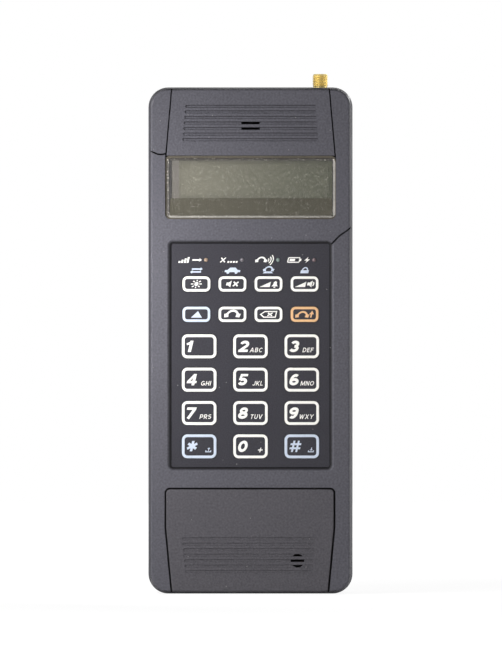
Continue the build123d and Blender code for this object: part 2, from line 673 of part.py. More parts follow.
with BuildPart() as display_frame:
    with BuildSketch(facing(FACE_DEPTH)):
        add(window_outline(GLASS_MARGIN + SCREW_GAP + FRAME_WALL))
        add(window_outline(GLASS_MARGIN + SCREW_GAP), mode=Mode.SUBTRACT)
    extrude(amount=FACE_DEPTH - BOARD_DEPTH)
save("display_frame", display_frame.part)

# Keypad overlay, lamps, rubber mat and keys
with BuildPart() as keypad_panel:
    with BuildSketch(facing(PANEL_DEPTH)):
        add(keypad_outline(KEYPAD_BEVEL + KEY_GAP))
        add(key_openings(KEY_GAP), mode=Mode.SUBTRACT)
    extrude(amount=-PANEL_THICKNESS)
save("keypad_panel", keypad_panel.part)

with BuildPart() as indicator_lights:
    with BuildSketch(facing(PANEL_DEPTH)):
        with Locations(*LAMP_PLACES):
            Circle(LAMP_DIAMETER / 2)
    extrude(amount=PANEL_DEPTH - BOARD_DEPTH)
save("indicator_lights", indicator_lights.part)

with BuildPart() as keypad_mat:
    mat_foot = KEYPAD_BOTTOM + NUMBER_KEY_FOOT - KEY_FLANGE
    mat_head = KEYPAD_TOP - SMALL_ROW + SMALL_KEY_HEIGHT / 2 + KEY_FLANGE
    with BuildSketch(facing(BOARD_DEPTH - MAT_THICKNESS)):
        with Locations((0, (mat_foot + mat_head) / 2)):
            Rectangle(KEYPAD_WIDTH - 2 * MAT_SIDE, mat_head - mat_foot)
    extrude(amount=-MAT_THICKNESS)
    with BuildSketch(facing(DOME_TOP)):
        with Locations(*[(x, z) for _, x, z, _, _, _ in KEYS]):
            Circle(DOME_RADIUS)
    extrude(amount=DOME_TOP - BOARD_DEPTH + MAT_THICKNESS)
save("keypad_mat", keypad_mat.part)


def make_key(x, z, width, height, corner):
    """A key that passes through the overlay, with a flange behind the casing that holds it in."""
    with BuildPart() as key:
        with BuildSketch(facing(KEY_DEPTH)):
            with Locations((x, z)):
                RectangleRounded(width, height, corner)
        extrude(amount=KEY_DEPTH - FACE_DEPTH - FLANGE_GAP)
        fillet(key.faces().sort_by(Axis.Y)[0].edges(), radius=KEY_EDGE)
        with BuildSketch(facing(FACE_DEPTH + FLANGE_GAP)):
            with Locations((x, z)):
                RectangleRounded(width + 2 * KEY_FLANGE, height + 2 * KEY_FLANGE, corner)
        extrude(amount=-KEY_FLANGE_THICKNESS)
    return key.part


for name, *place in KEYS:
    save(name, make_key(*place))

# Main board with its chips, and the radio board with its shield and the link between the two
with BuildPart() as main_board:
    with BuildSketch(facing(BOARD_DEPTH)):
        with Locations((0, (BOARD_FOOT + BOARD_TOP) / 2)):
            Rectangle(2 * BOARD_HALF, BOARD_TOP - BOARD_FOOT)
    extrude(amount=-BOARD_THICKNESS)
save("main_board", main_board.part)

with BuildPart() as board_chips:
    with BuildSketch(facing(BOARD_DEPTH + BOARD_THICKNESS)):
        for x, z, width, height in CHIPS:
            with Locations((x, z)):
                Rectangle(width, height)
    extrude(amount=-CHIP_HEIGHT)
save("board_chips", board_chips.part)

with BuildPart() as board_link:
    with BuildSketch(facing(BOARD_DEPTH + BOARD_THICKNESS)):
        with Locations((0, LINK_HEIGHT)):
            Rectangle(*LINK_SIZE)
    extrude(amount=BOARD_DEPTH + BOARD_THICKNESS - RADIO_DEPTH)
save("board_link", board_link.part)

with BuildPart() as radio_board:
    with BuildSketch(facing(RADIO_DEPTH)):
        with Locations((0, (RADIO_FOOT + RADIO_TOP) / 2)):
            Rectangle(2 * RADIO_HALF, RADIO_TOP - RADIO_FOOT)
    extrude(amount=-RADIO_THICKNESS)
save("radio_board", radio_board.part)

with BuildPart() as shield_can:
    shield_top = RADIO_TOP - SHIELD_TOP_GAP
    with BuildSketch(facing(RADIO_DEPTH)):
        with Locations((0, (SHIELD_FOOT + shield_top) / 2)):
            Rectangle(2 * (RADIO_HALF - SHIELD_SIDE_GAP), shield_top - SHIELD_FOOT)
    extrude(amount=SHIELD_HEIGHT)
    offset(amount=-SHIELD_SHEET, openings=shield_can.faces().sort_by(Axis.Y)[-1])
save("shield_can", shield_can.part)

# Earpiece speaker, ringer, and the microphone in its boot
with BuildPart() as earpiece_speaker:
    with BuildSketch(facing(FACE_DEPTH)):
        with Locations((0, EAR_SLOT_MIDDLE)):
            Circle(SPEAKER_DIAMETER / 2)
    extrude(amount=-SPEAKER_RIM)
    with BuildSketch(facing(FACE_DEPTH + SPEAKER_RIM)):
        with Locations((0, EAR_SLOT_MIDDLE)):
            Circle(SPEAKER_MAGNET[0] / 2)
    extrude(amount=-SPEAKER_MAGNET[1])
save("earpiece_speaker", earpiece_speaker.part)

with BuildPart() as ringer:
    with BuildSketch(facing(BOARD_DEPTH + BOARD_THICKNESS)):
        with Locations((RINGER_X, BOARD_TOP - RINGER_TOP_GAP)):
            Circle(RINGER_DIAMETER / 2)
    extrude(amount=-RINGER_HEIGHT)
save("ringer", ringer.part)

with BuildPart() as microphone:
    with BuildSketch(facing(FACE_DEPTH)):
        with Locations((MIC_X, MIC_HEIGHT)):
            Circle(MIC_DIAMETER / 2)
    extrude(amount=-MIC_LENGTH)
save("microphone", microphone.part)

with BuildPart() as microphone_boot:
    with BuildSketch(facing(FACE_DEPTH)):
        with Locations((MIC_X, MIC_HEIGHT)):
            Circle(MIC_DIAMETER / 2 + BOOT_WALL)
            Circle(MIC_DIAMETER / 2, mode=Mode.SUBTRACT)
    extrude(amount=-MIC_LENGTH)
    with BuildSketch(facing(FACE_DEPTH + MIC_LENGTH)):
        with Locations((MIC_X, MIC_HEIGHT)):
            Circle(MIC_DIAMETER / 2 + BOOT_WALL)
    extrude(amount=-BOOT_WALL)
save("microphone_boot", microphone_boot.part)

# Antenna connector on its bracket: threaded stud, insulator and centre contact
with BuildPart() as antenna_connector:
    with BuildSketch(level(SEAT_HEIGHT)):
        with Locations((STUD_X, STUD_Y)):
            Circle(STUD_FLANGE[0])
    extrude(amount=STUD_FLANGE[1])
    with BuildSketch(level(SEAT_HEIGHT)):
        with Locations((STUD_X, STUD_Y)):
            Circle(STUD_NECK_RADIUS)
    extrude(amount=STUD_SEAT + STUD_NECK_RISE)
    with BuildSketch(level(HEIGHT + STUD_NECK_RISE)):
        with Locations((STUD_X, STUD_Y)):
            Circle(STUD_RADIUS)
    extrude(amount=STUD_RISE - STUD_NECK_RISE)
    chamfer(antenna_connector.faces().sort_by(Axis.Z)[-1].edges(), length=STUD_CHAMFER)
    with BuildSketch(level(SEAT_HEIGHT)):
        with Locations((STUD_X, STUD_Y)):
            Circle(STUD_TAIL_RADIUS)
    extrude(amount=-STUD_TAIL)
    with BuildSketch(level(STUD_BORE_FLOOR)):
        with Locations((STUD_X, STUD_Y)):
            Circle(STUD_BORE)
    extrude(amount=STUD_TOP - STUD_BORE_FLOOR, mode=Mode.SUBTRACT)
save("antenna_connector", antenna_connector.part)

with BuildPart() as antenna_insulator:
    with BuildSketch(level(STUD_BORE_FLOOR)):
        with Locations((STUD_X, STUD_Y)):
            Circle(STUD_BORE)
            Circle(CONTACT_RADIUS, mode=Mode.SUBTRACT)
    extrude(amount=STUD_TOP - CONTACT_SINK - STUD_BORE_FLOOR)
save("antenna_insulator", antenna_insulator.part)

with BuildPart() as antenna_contact:
    with BuildSketch(level(STUD_BORE_FLOOR)):
        with Locations((STUD_X, STUD_Y)):
            Circle(CONTACT_RADIUS)
    extrude(amount=STUD_TOP - STUD_BORE_FLOOR)
save("antenna_contact", antenna_contact.part)

with BuildPart() as antenna_bracket:
    leaf_left = STUD_X - BRACKET_REACH - STUD_FLANGE[0]
    with BuildSketch(facing(RADIO_DEPTH - BRACKET_SHEET)):
        with Locations((leaf_left, RADIO_TOP - BRACKET_LAP)):
            Rectangle(BRACKET_WIDTH, SEAT_HEIGHT - RADIO_TOP + BRACKET_LAP,
                      align=(Align.MIN, Align.MIN))
    extrude(amount=-BRACKET_SHEET)
    with BuildSketch(level(SEAT_HEIGHT)):
        with Locations((leaf_left, FRONT_Y + RADIO_DEPTH - BRACKET_SHEET)):
            Rectangle(2 * STUD_FLANGE[0] + BRACKET_REACH,
                      STUD_DEPTH + STUD_FLANGE[0] - RADIO_DEPTH + BRACKET_SHEET,
                      align=(Align.MIN, Align.MIN))
        with Locations((STUD_X, STUD_Y)):
            Circle(STUD_TAIL_RADIUS + SCREW_GAP, mode=Mode.SUBTRACT)
    extrude(amount=-BRACKET_SHEET)
save("antenna_bracket", antenna_bracket.part)

# Contact pins between the radio board and the battery pack
with BuildPart() as battery_contacts:
    with BuildSketch(facing(RADIO_DEPTH + RADIO_THICKNESS)):
        with Locations(*TERMINAL_PLACES):
            Circle(CONTACT_PIN_RADIUS)
    extrude(amount=RADIO_DEPTH + RADIO_THICKNESS - PHONE_DEPTH - SCREW_GAP)
    fillet(battery_contacts.faces().group_by(Axis.Y)[-1].edges(), radius=CONTACT_PIN_EDGE)
save("battery_contacts", battery_contacts.part)


def pack_outline(inset):
    """Outline of the battery pack seen from the front, drawn in by an inset."""
    with BuildSketch() as outline:
        with Locations((0, PACK_HEIGHT / 2)):
            Rectangle(WIDTH - 2 * inset, PACK_HEIGHT - 2 * inset)
        fillet(outline.vertices().group_by(Axis.Y)[0], radius=CORNER_RADIUS - inset)
        fillet(outline.vertices().group_by(Axis.Y)[-1], radius=PACK_TOP_CORNER - inset)
    return outline.sketch


def cell_room(gap):
    """Outline of the room for the cells less a gap: the pack's outline, cut off above the cells."""
    with BuildSketch() as outline:
        add(pack_outline(PACK_WALL + gap))
        with Locations((0, CELL_TOP - gap)):
            Rectangle(WIDTH, PACK_HEIGHT, align=(Align.CENTER, Align.MIN), mode=Mode.SUBTRACT)
    return outline.sketch


# Battery case: a tub for the cells, and a head with the channel that the latch runs in
with BuildPart() as battery_case:
    with BuildSketch(facing(PACK_FRONT)):
        add(pack_outline(0))
    extrude(amount=PACK_FRONT - PACK_BACK)
    with BuildSketch(Plane.YZ):
        with BuildLine():
            Polyline((FRONT_Y + PACK_BACK, PACK_HEIGHT - PACK_SLOPE[0]),
                     (FRONT_Y + PACK_BACK, PACK_HEIGHT),
                     (FRONT_Y + PACK_BACK - PACK_SLOPE[1], PACK_HEIGHT), close=True)
        make_face()
    extrude(amount=WIDTH, both=True, mode=Mode.SUBTRACT)
    back_faces = battery_case.faces().filter_by(lambda face: face.normal_at().Y > 0.3)
    fillet(back_faces.edges(), radius=PACK_EDGE)
    chamfer(battery_case.faces().sort_by(Axis.Y)[0].edges(), length=SEAM_CHAMFER)
    with BuildSketch(facing(PACK_FRONT)):
        add(cell_room(0))
    extrude(amount=PACK_FRONT - PACK_BACK + PACK_WALL, mode=Mode.SUBTRACT)
    with BuildSketch(facing(PACK_FRONT)):
        add(pack_outline(PACK_WALL))
        with Locations((0, CELL_TOP + HEAD_WALL)):
            Rectangle(WIDTH, CELL_TOP, align=(Align.CENTER, Align.MAX), mode=Mode.SUBTRACT)
        with Locations((0, PACK_HEIGHT)):
            Rectangle(LATCH_SIZE[0] + 2 * (LATCH_GAP + HEAD_WALL), 2 * PACK_HEIGHT,
                      mode=Mode.SUBTRACT)
    extrude(amount=PACK_FRONT - PACK_BACK + PACK_SLOPE[1] + HEAD_WALL, mode=Mode.SUBTRACT)
    with BuildSketch(facing(PACK_FRONT)):
        with Locations((0, LATCH_RUN)):
            Rectangle(LATCH_SIZE[0] + 2 * LATCH_GAP, PACK_HEIGHT, align=(Align.CENTER, Align.MIN))
    extrude(amount=SLIDE_GAP - LATCH_PROUD - LATCH_GAP, mode=Mode.SUBTRACT)
    with BuildSketch(facing(PACK_BACK)):
        with Locations((0, PACK_HEIGHT - GRIP_TOP_GAP - GRIP_PITCH * (GRIP_COUNT - 1) / 2)):
            with GridLocations(0, GRIP_PITCH, 1, GRIP_COUNT):
                SlotOverall(*GRIP_SIZE)
    extrude(amount=GRIP_DEPTH, mode=Mode.SUBTRACT)
save("battery_case", battery_case.part)

# Inner cover of the pack with its T-shaped hooks
with BuildPart() as battery_cover:
    with BuildSketch(facing(PACK_FRONT)):
        add(cell_room(SCREW_GAP))
    extrude(amount=-PACK_COVER)
    with BuildSketch(facing(PACK_FRONT)):
        with Locations(*HOOK_PLACES):
            Rectangle(*HOOK_STEM)
    extrude(amount=PACK_FRONT - HOOK_FACE)
    with BuildSketch(facing(HOOK_FACE)):
        with Locations(*HOOK_PLACES):
            Rectangle(HOOK_HEAD[0], HOOK_STEM[1])
    extrude(amount=HOOK_HEAD[1])
    with BuildSketch(facing(PACK_FRONT)):
        with Locations(*TERMINAL_PLACES):
            Rectangle(*TERMINAL_PAD[:2])
    extrude(amount=-TERMINAL_PAD[2], mode=Mode.SUBTRACT)
save("battery_cover", battery_cover.part)

with BuildPart() as battery_terminals:
    with BuildSketch(facing(PACK_FRONT)):
        with Locations(*TERMINAL_PLACES):
            Rectangle(*TERMINAL_PAD[:2])
    extrude(amount=-TERMINAL_PAD[2])
save("battery_terminals", battery_terminals.part)

# Cells in upright columns, each with the button of its positive end on top
with BuildPart() as battery_cells:
    for row in range(CELL_ROWS):
        foot = CELL_FOOT + row * (CELL_LENGTH + CELL_GAP)
        with BuildSketch(level(foot)):
            with Locations((0, FRONT_Y + CELL_FRONT + CELL_DIAMETER / 2)):
                with GridLocations(CELL_DIAMETER + CELL_GAP, 0, CELL_COLUMNS, 1):
                    Circle(CELL_DIAMETER / 2)
        extrude(amount=CELL_LENGTH - CELL_BUTTON[1])
        with BuildSketch(level(foot)):
            with Locations((0, FRONT_Y + CELL_FRONT + CELL_DIAMETER / 2)):
                with GridLocations(CELL_DIAMETER + CELL_GAP, 0, CELL_COLUMNS, 1):
                    Circle(CELL_BUTTON[0])
        extrude(amount=CELL_LENGTH)
save("battery_cells", battery_cells.part)

# Battery latch with its flange, and its spring
with BuildPart() as battery_latch:
    with BuildSketch(facing(FLANGE_DEPTH)):
        with Locations((0, LATCH_HEIGHT)):
            Rectangle(LATCH_SIZE[0], LATCH_SIZE[1])
    extrude(amount=FLANGE_DEPTH - PHONE_DEPTH - LATCH_PROUD)
    fillet(battery_latch.faces().sort_by(Axis.Y)[-1].edges(), radius=LATCH_EDGE)
    with BuildSketch(facing(FLANGE_DEPTH)):
        with Locations((0, LATCH_HEIGHT)):
            Rectangle(LATCH_SIZE[0] + 2 * LATCH_FLANGE, LATCH_SIZE[1] + 2 * LATCH_FLANGE)
    extrude(amount=-LATCH_FLANGE_THICKNESS)
    with BuildSketch(facing(PHONE_DEPTH + LATCH_PROUD)):
        with Locations((0, LATCH_HEIGHT)):
            with GridLocations(0, LATCH_GROOVE_PITCH, 1, LATCH_GROOVE_COUNT):
                SlotOverall(*LATCH_GROOVE)
    extrude(amount=LATCH_EDGE, mode=Mode.SUBTRACT)
save("battery_latch", battery_latch.part)

with BuildPart() as latch_spring:
    with BuildSketch(facing(BRIDGE_DEPTH)):
        with Locations((0, LATCH_HEIGHT)):
            Circle(SPRING_RADIUS)
            Circle(SPRING_RADIUS - SPRING_WALL, mode=Mode.SUBTRACT)
    extrude(amount=SCREW_GAP - SPRING_LENGTH)
save("latch_spring", latch_spring.part)
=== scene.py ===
# %% [markdown]
# # A hand-held cellular phone, finished in Blender
# The phone's construction is already made: every casing half, key, board and screw is a mesh of its own,
# at its real size, and rides on a body that can move. This lesson gives it its looks. A finished piece is
# never moved; it gets a material, and what construction leaves plain, such as the printing on the keys or
# the thread of the antenna stud, is made here as new pieces.

# %% Load the construction
import json
from math import atan2, cos, pi, radians, sin

import bmesh
import bpy
import numpy as np
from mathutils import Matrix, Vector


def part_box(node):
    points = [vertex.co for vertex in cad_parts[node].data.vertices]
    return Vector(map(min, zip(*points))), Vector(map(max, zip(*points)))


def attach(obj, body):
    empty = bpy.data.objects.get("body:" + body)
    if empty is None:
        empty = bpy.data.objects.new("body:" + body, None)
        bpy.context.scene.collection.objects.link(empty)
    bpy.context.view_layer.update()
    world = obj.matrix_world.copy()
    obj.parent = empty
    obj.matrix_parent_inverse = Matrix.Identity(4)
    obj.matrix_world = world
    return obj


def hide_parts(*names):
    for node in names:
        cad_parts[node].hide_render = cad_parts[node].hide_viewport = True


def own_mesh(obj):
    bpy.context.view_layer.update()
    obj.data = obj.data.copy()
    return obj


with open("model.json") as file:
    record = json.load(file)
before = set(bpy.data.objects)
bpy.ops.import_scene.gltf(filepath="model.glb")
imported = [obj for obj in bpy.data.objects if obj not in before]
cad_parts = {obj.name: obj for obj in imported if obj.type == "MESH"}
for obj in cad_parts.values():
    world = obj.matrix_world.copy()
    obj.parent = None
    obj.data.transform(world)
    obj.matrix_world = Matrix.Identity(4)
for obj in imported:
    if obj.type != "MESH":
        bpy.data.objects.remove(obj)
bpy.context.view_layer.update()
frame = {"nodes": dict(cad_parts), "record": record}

nodes = frame["nodes"]
print("pieces of the construction:", len(nodes))

# %% [markdown]
# ## Measures
# Blender works in metres and the phone's details are fractions of a millimetre, so sizes are written in
# millimetres and multiplied once. The phone stands on its lower end with its face towards -Y, so a depth
# behind the face is a step along +Y. Places are read from the construction, never guessed.

# %% Read the places that the new pieces need
MM = 0.001
TINY = 1e-7
FACE_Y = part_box("front_shell")[0].y
KEYPAD_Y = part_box("keypad_panel")[0].y
BACK_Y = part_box("battery_case")[1].y
HALF_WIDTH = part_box("rear_shell")[1].x
PHONE_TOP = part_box("rear_shell")[1].z
EDGE_ROUND = 1.06
FACE_HALF = HALF_WIDTH / MM - EDGE_ROUND
LENS_LOW, LENS_HIGH = (corner.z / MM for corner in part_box("display_lens"))
LENS_LEFT, LENS_RIGHT = (corner.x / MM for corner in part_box("display_lens"))
LENS_GAP = 0.45
LENS_SIDE_GAP = 0.25
RECESS_HALF = LENS_RIGHT + LENS_SIDE_GAP
PAD_BEVEL = 1.6
PAD_LOW, PAD_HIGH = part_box("keypad_panel")[0].z / MM - PAD_BEVEL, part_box("keypad_panel")[1].z / MM + PAD_BEVEL
PAD_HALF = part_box("keypad_panel")[1].x / MM + PAD_BEVEL
print(f"face at {FACE_Y / MM:.2f} mm, keypad at {KEYPAD_Y / MM:.2f} mm, back at {BACK_Y / MM:.2f} mm")

# %% [markdown]
# ## Shader maths as Python
# A procedural material is arithmetic on positions: noise plus noise, times a mask. In the node editor each
# step is a box; here a small class wraps a node's output, so that `grain * 0.4 + smudge` adds the Math
# nodes by itself. Colours are not numbers, so they go through Mix nodes instead.


# %% Wrap a node's output
class Wire:
    """An output socket. Sums, products and comparisons of wires and numbers add Math nodes."""

    def __init__(self, finish, socket):
        self.finish, self.socket = finish, socket

    def maths(self, operation, first, second=0.0, clamp=False):
        """A Math node that works on two wires or numbers."""
        settings = {"operation": operation, "use_clamp": clamp}
        return self.finish.node("Math", settings, {0: first, 1: second})

    def other(self, output):
        """Another output of the node that this wire comes from, by its name or number."""
        return Wire(self.finish, self.socket.node.outputs[output])

    def maximum(self, other):
        """The larger of two numbers."""
        return self.maths("MAXIMUM", self, other)

    def __add__(self, other):
        return self.maths("ADD", self, other)

    def __sub__(self, other):
        return self.maths("SUBTRACT", self, other)

    def __rsub__(self, other):
        return self.maths("SUBTRACT", other, self)

    def __mul__(self, other):
        return self.maths("MULTIPLY", self, other)

    def __gt__(self, other):
        return self.maths("GREATER_THAN", self, other)

    def __lt__(self, other):
        return self.maths("LESS_THAN", self, other)

    __radd__, __rmul__ = __add__, __mul__

    def clamped(self):
        """The wire's number held between 0 and 1."""
        return self.maths("ADD", self, 0.0, clamp=True)

    def size(self):
        """The wire's number without its sign."""
        return self.maths("ABSOLUTE", self)

    def wave(self):
        """The sine of the wire's number, in radians."""
        return self.maths("SINE", self)


# %% [markdown]
# ## A finish and its nodes
# Every material below starts the same way: an empty node tree, the object's own coordinates in
# millimetres, and a shader at the end, mostly one Principled. Object coordinates are used because every
# piece keeps its place in its mesh, so a grain of a given size is that size everywhere and never
# stretches. The room's background is a node tree as well, so the same class makes it.


# %% Make a material and its nodes
def linear(red, green, blue):
    """A colour given as on a screen, 0 to 255, as the linear light that shaders work in."""
    share = np.array([red, green, blue]) / 255
    light = np.where(share <= 0.04045, share / 12.92, ((share + 0.055) / 1.055) ** 2.4)
    return (*light.tolist(), 1.0)


class Finish:
    """One material, or a world. Its node method adds any node, and shade ends a material's tree."""

    def __init__(self, name, world=False):
        self.owner = (bpy.data.worlds if world else bpy.data.materials).new(name)
        self.owner.use_nodes = True
        self.tree = self.owner.node_tree
        self.tree.nodes.clear()

    def node(self, kind, settings=None, inputs=None, output=0):
        """Add a node of a type, set its settings, then feed its sockets with values or wires."""
        node = self.tree.nodes.new("ShaderNode" + kind)
        for name, value in (settings or {}).items():
            setattr(node, name, value)
        for name, value in (inputs or {}).items():
            if isinstance(value, Wire):
                self.tree.links.new(value.socket, node.inputs[name])
            else:
                node.inputs[name].default_value = value
        return Wire(self, node.outputs[output]) if node.outputs else None

    def place(self):
        """The point's place in the phone's frame, in metres."""
        return self.node("TexCoord", output="Object")

    def axes(self):
        """The point's x, y and z in millimetres, as three wires."""
        parts = self.node("SeparateXYZ", inputs={0: self.place()})
        return [parts.other(i) * (1 / MM) for i in range(3)]

    def noise(self, size, detail=2.0, stretch=(1.0, 1.0, 1.0)):
        """Cloudy noise from 0 to 1 whose lumps are about size millimetres across."""
        where = self.node("Mapping", inputs={"Vector": self.place(), "Scale": stretch})
        return self.node("TexNoise", inputs={"Vector": where, "Scale": 1 / (size * MM), "Detail": detail})

    def flecks(self, spacing, radius, share):
        """1 in small round flecks: the cells of a Voronoi pattern whose random number is under a share."""
        cells = self.node("TexVoronoi", inputs={"Vector": self.place(), "Scale": 1 / (spacing * MM)})
        chance = self.node("SeparateColor", inputs={0: cells.other("Color")})
        return (cells < radius / spacing) * (chance < share)

    def mix(self, factor, first, second, blend="MIX"):
        """Two colours mixed by a factor; a Mix node takes them at sockets 6 and 7 and gives output 2."""
        settings = {"data_type": "RGBA", "blend_type": blend}
        return self.node("Mix", settings, {0: factor, 6: first, 7: second}, output=2)

    def tint(self, colour, brightness):
        """A colour made lighter or darker by a wire around 1."""
        grey = self.node("CombineColor", inputs={0: brightness, 1: brightness, 2: brightness})
        return self.mix(1.0, colour, grey, "MULTIPLY")

    def between(self, value, low, high):
        """0 below low and 1 above high, with a soft step between."""
        settings = {"interpolation_type": "SMOOTHSTEP"}
        return self.node("MapRange", settings, {0: value, 1: low, 2: high, 3: 0.0, 4: 1.0})

    def bump(self, height, depth):
        """A normal for a height from 0 to 1 that stands for a real depth in millimetres."""
        return self.node("Bump", inputs={"Height": height, "Distance": depth * MM, "Strength": 1.0})

    def shade(self, **sockets):
        """End the tree in a Principled shader; a socket's name is written with underscores."""
        named = {name.replace("_", " "): value for name, value in sockets.items()}
        return self.finish_with(self.node("BsdfPrincipled", inputs=named))

    def finish_with(self, shader, output="OutputMaterial"):
        """Join a shader to the tree's output; the material or world is then ready."""
        self.node(output, inputs={"Surface": shader})
        return self.owner


print("shader tools ready")

# %% [markdown]
# ## Grime, wear and painted shade on the front
# Years of handling polish the casing's rim and pack dark grime into seams, recess walls and cracks; the
# same dark colour also paints the shade that falls there, darker deeper down the keypad's recess walls. It
# could be painted on by hand, but a mask worked out from the point's place keeps to every edge. Grime and
# painted shade are placed by depth behind the face, deeper where the sound grooves are, so that their
# floors stay clean, and not on the outer sides, round the corners or behind the window; the outer sides get
# a painted shade of their own. The upper grooves hold only a painted shadow line near each upper edge,
# which is a wave along the height with the grooves' own pitch.

# %% Soil a front piece, paint its shade and polish its rim
GRIME_AND_SHADE_COLOUR = linear(15, 14, 16)
GRIME_AND_SHADE_COVER, SHADOW_LINE_COVER, SIDE_SHADE_COVER = 0.93, 0.5, 0.42
GRIME_AND_SHADE_DEPTH, GRIME_AND_SHADE_SOFT, GRIME_AND_SHADE_END = 0.04, 0.15, 3.6
BEVEL_START, BEVEL_DEPTH = 0.05, 0.8
SIDE_START, SIDE_FULL, SIDE_COARSE = -0.8, -0.35, 0.3
CRACK_FLOOR = 2.0
GROOVE_DEPTH, GROOVE_HALF = 0.4, 26.6
GROOVES_BELOW, GROOVES_ABOVE = 25.0, 168.0
GROOVE_EDGE, GROOVE_PITCH = 183.43, 2.08
SHADOW_LINE_START, SHADOW_LINE_FULL, SHADOW_LINE_DEPTH = 0.7, 0.95, 0.25
RIM_BAND, RIM_SOFT, RIM_POLISH = 1.2, 0.6, 0.28
CORNER_SIDE, CORNER_REACH = 32.3, 8.0
LENS_SPARE = 0.1


def soiled_and_shaded_front(finish, shade, gloss):
    """A front piece's colour and roughness: grime and painted shade in seams, cracks and recess walls, a
    painted shadow line in the grooves, painted shade and coarseness on the sides, and a polished rim.

    Seams are where the depth behind the face passes the set start depth of the grime and painted shade, taken
    after the grooves' own depth. The painted shadow line is where cos(2 pi (z - edge) / pitch) is near 1. A
    side is where the normal turns from -Y."""
    x, y, z = finish.axes()
    side, depth = x.size(), y - FACE_Y / MM
    half_height = PHONE_TOP / MM / 2
    up = (z - half_height).size()
    corner = (side > CORNER_SIDE) * (up > half_height - CORNER_REACH)
    inside = (side < FACE_HALF - RIM_BAND) * (up < half_height - RIM_BAND) * (1.0 - corner)
    grooved = (side < GROOVE_HALF) * (1.0 - (z > GROOVES_BELOW) * (z < GROOVES_ABOVE))
    lens_reach = LENS_GAP + LENS_SPARE
    lens_rows = (z > LENS_LOW - lens_reach) * (z < LENS_HIGH + lens_reach)
    behind_lens = (side < RECESS_HALF + LENS_SPARE) * lens_rows
    on_bevel = (side < PAD_HALF) * (z > PAD_LOW) * (z < PAD_HIGH)
    seam = finish.between(depth - grooved * GROOVE_DEPTH, GRIME_AND_SHADE_DEPTH, GRIME_AND_SHADE_DEPTH + GRIME_AND_SHADE_SOFT)
    wall = finish.between(depth, BEVEL_START, BEVEL_DEPTH)
    # The outer sides, where the normal turns away from -Y, get painted shade besides their extra roughness.
    facing = finish.node("SeparateXYZ", inputs={0: finish.node("TexCoord", output="Normal")})
    turned = finish.between(facing.other("Y"), SIDE_START, SIDE_FULL)
    crack = (1.0 - turned) * (depth > CRACK_FLOOR)
    # Grime together with painted shade in seams, cracks and the keypad's recess walls, the walls darker towards
    # their foot.
    grime_and_shade = (seam * (1.0 - on_bevel) + wall * on_bevel) * inside.maximum(crack)
    grime_and_shade = grime_and_shade * (depth < GRIME_AND_SHADE_END) * (1.0 - behind_lens)
    # Painted shadow line in the upper grooves, near each groove's upper edge, where the wall's shade would fall.
    under_edge = ((z - GROOVE_EDGE) * (2 * pi / GROOVE_PITCH) + pi / 2).wave()
    in_grooves = (side < GROOVE_HALF) * (z > GROOVES_ABOVE) * (depth > SHADOW_LINE_DEPTH)
    line = finish.between(under_edge, SHADOW_LINE_START, SHADOW_LINE_FULL) * in_grooves
    for mask, cover in ((grime_and_shade, GRIME_AND_SHADE_COVER), (line, SHADOW_LINE_COVER), (turned, SIDE_SHADE_COVER)):
        shade = finish.mix(mask * cover, shade, GRIME_AND_SHADE_COLOUR)
    rim = finish.between(side, FACE_HALF - RIM_BAND, FACE_HALF - RIM_SOFT) * (side < FACE_HALF)
    return shade, gloss - rim * RIM_POLISH + turned * SIDE_COARSE


print("grime from", GRIME_AND_SHADE_DEPTH, "to", GRIME_AND_SHADE_END, "mm behind the face")

# %% [markdown]
# ## The casing's plastic
# The casing is dark blue-grey ABS, moulded against a spark-eroded steel face. That leaves a fine random
# grain, which spreads highlights, and pale dust lodges in it. One function makes it, because the keypad,
# the keys and the small plastic parts inside are the same stuff with other numbers.

# %% Moulded plastic
CASING_COLOUR = linear(88, 87, 94)
COVER_COLOUR = linear(84, 82, 87)
LATCH_COLOUR = linear(70, 69, 75)
DUST_COLOUR = linear(176, 174, 172)
GRAIN_SIZE, GRAIN_DEPTH = 0.75, 0.07
PIT_RATIO, GRAIN_SHARE, PIT_SHARE = 2.4, 0.7, 0.3
CLOUD_SIZE, CLOUD_GLOSS = 16.0, 0.25
FLECK_SPACING, FLECK_RADIUS, FLECK_COVER = 1.3, 0.2, 0.4


def moulded_plastic(name, colour, grain_size=GRAIN_SIZE, grain_depth=GRAIN_DEPTH, roughness=0.5,
                    patches=0.1, dust=0.02, contrast=0.9, front=False):
    """Textured plastic: grain in the bump and the colour, handled patches and dust.

    Brightness is 1 + contrast * (grain - 1/2) + patches * (cloud - 1/2); roughness follows the cloud too.
    The relief is seven parts grain to three parts of coarser pits. A front piece also gets grime and painted
    shade."""
    finish = Finish(name)
    grain = finish.noise(grain_size, detail=3.0)
    pits = finish.noise(grain_size * PIT_RATIO, detail=1.0)
    cloud = finish.noise(CLOUD_SIZE, detail=4.0)
    shade = finish.tint(colour, (grain - 0.5) * contrast + (cloud - 0.5) * patches + 1.0)
    gloss = (cloud - 0.5) * CLOUD_GLOSS + roughness
    if front:
        shade, gloss = soiled_and_shaded_front(finish, shade, gloss)
    specks = finish.flecks(FLECK_SPACING, FLECK_RADIUS, dust)
    shade = finish.mix(specks * FLECK_COVER, shade, DUST_COLOUR)
    relief = grain * GRAIN_SHARE + pits * PIT_SHARE
    return finish.shade(Base_Color=shade, Roughness=gloss, Normal=finish.bump(relief, grain_depth),
                        Specular_IOR_Level=0.25)


casing = moulded_plastic("casing_plastic", CASING_COLOUR, front=True)
cover_plastic = moulded_plastic("cover_plastic", COVER_COLOUR, front=True)
pack_casing = moulded_plastic("pack_plastic", CASING_COLOUR, dust=0.04)
latch_plastic = moulded_plastic("latch_plastic", LATCH_COLOUR, roughness=0.42)
print("casing plastics:", casing.name, cover_plastic.name, pack_casing.name, latch_plastic.name)

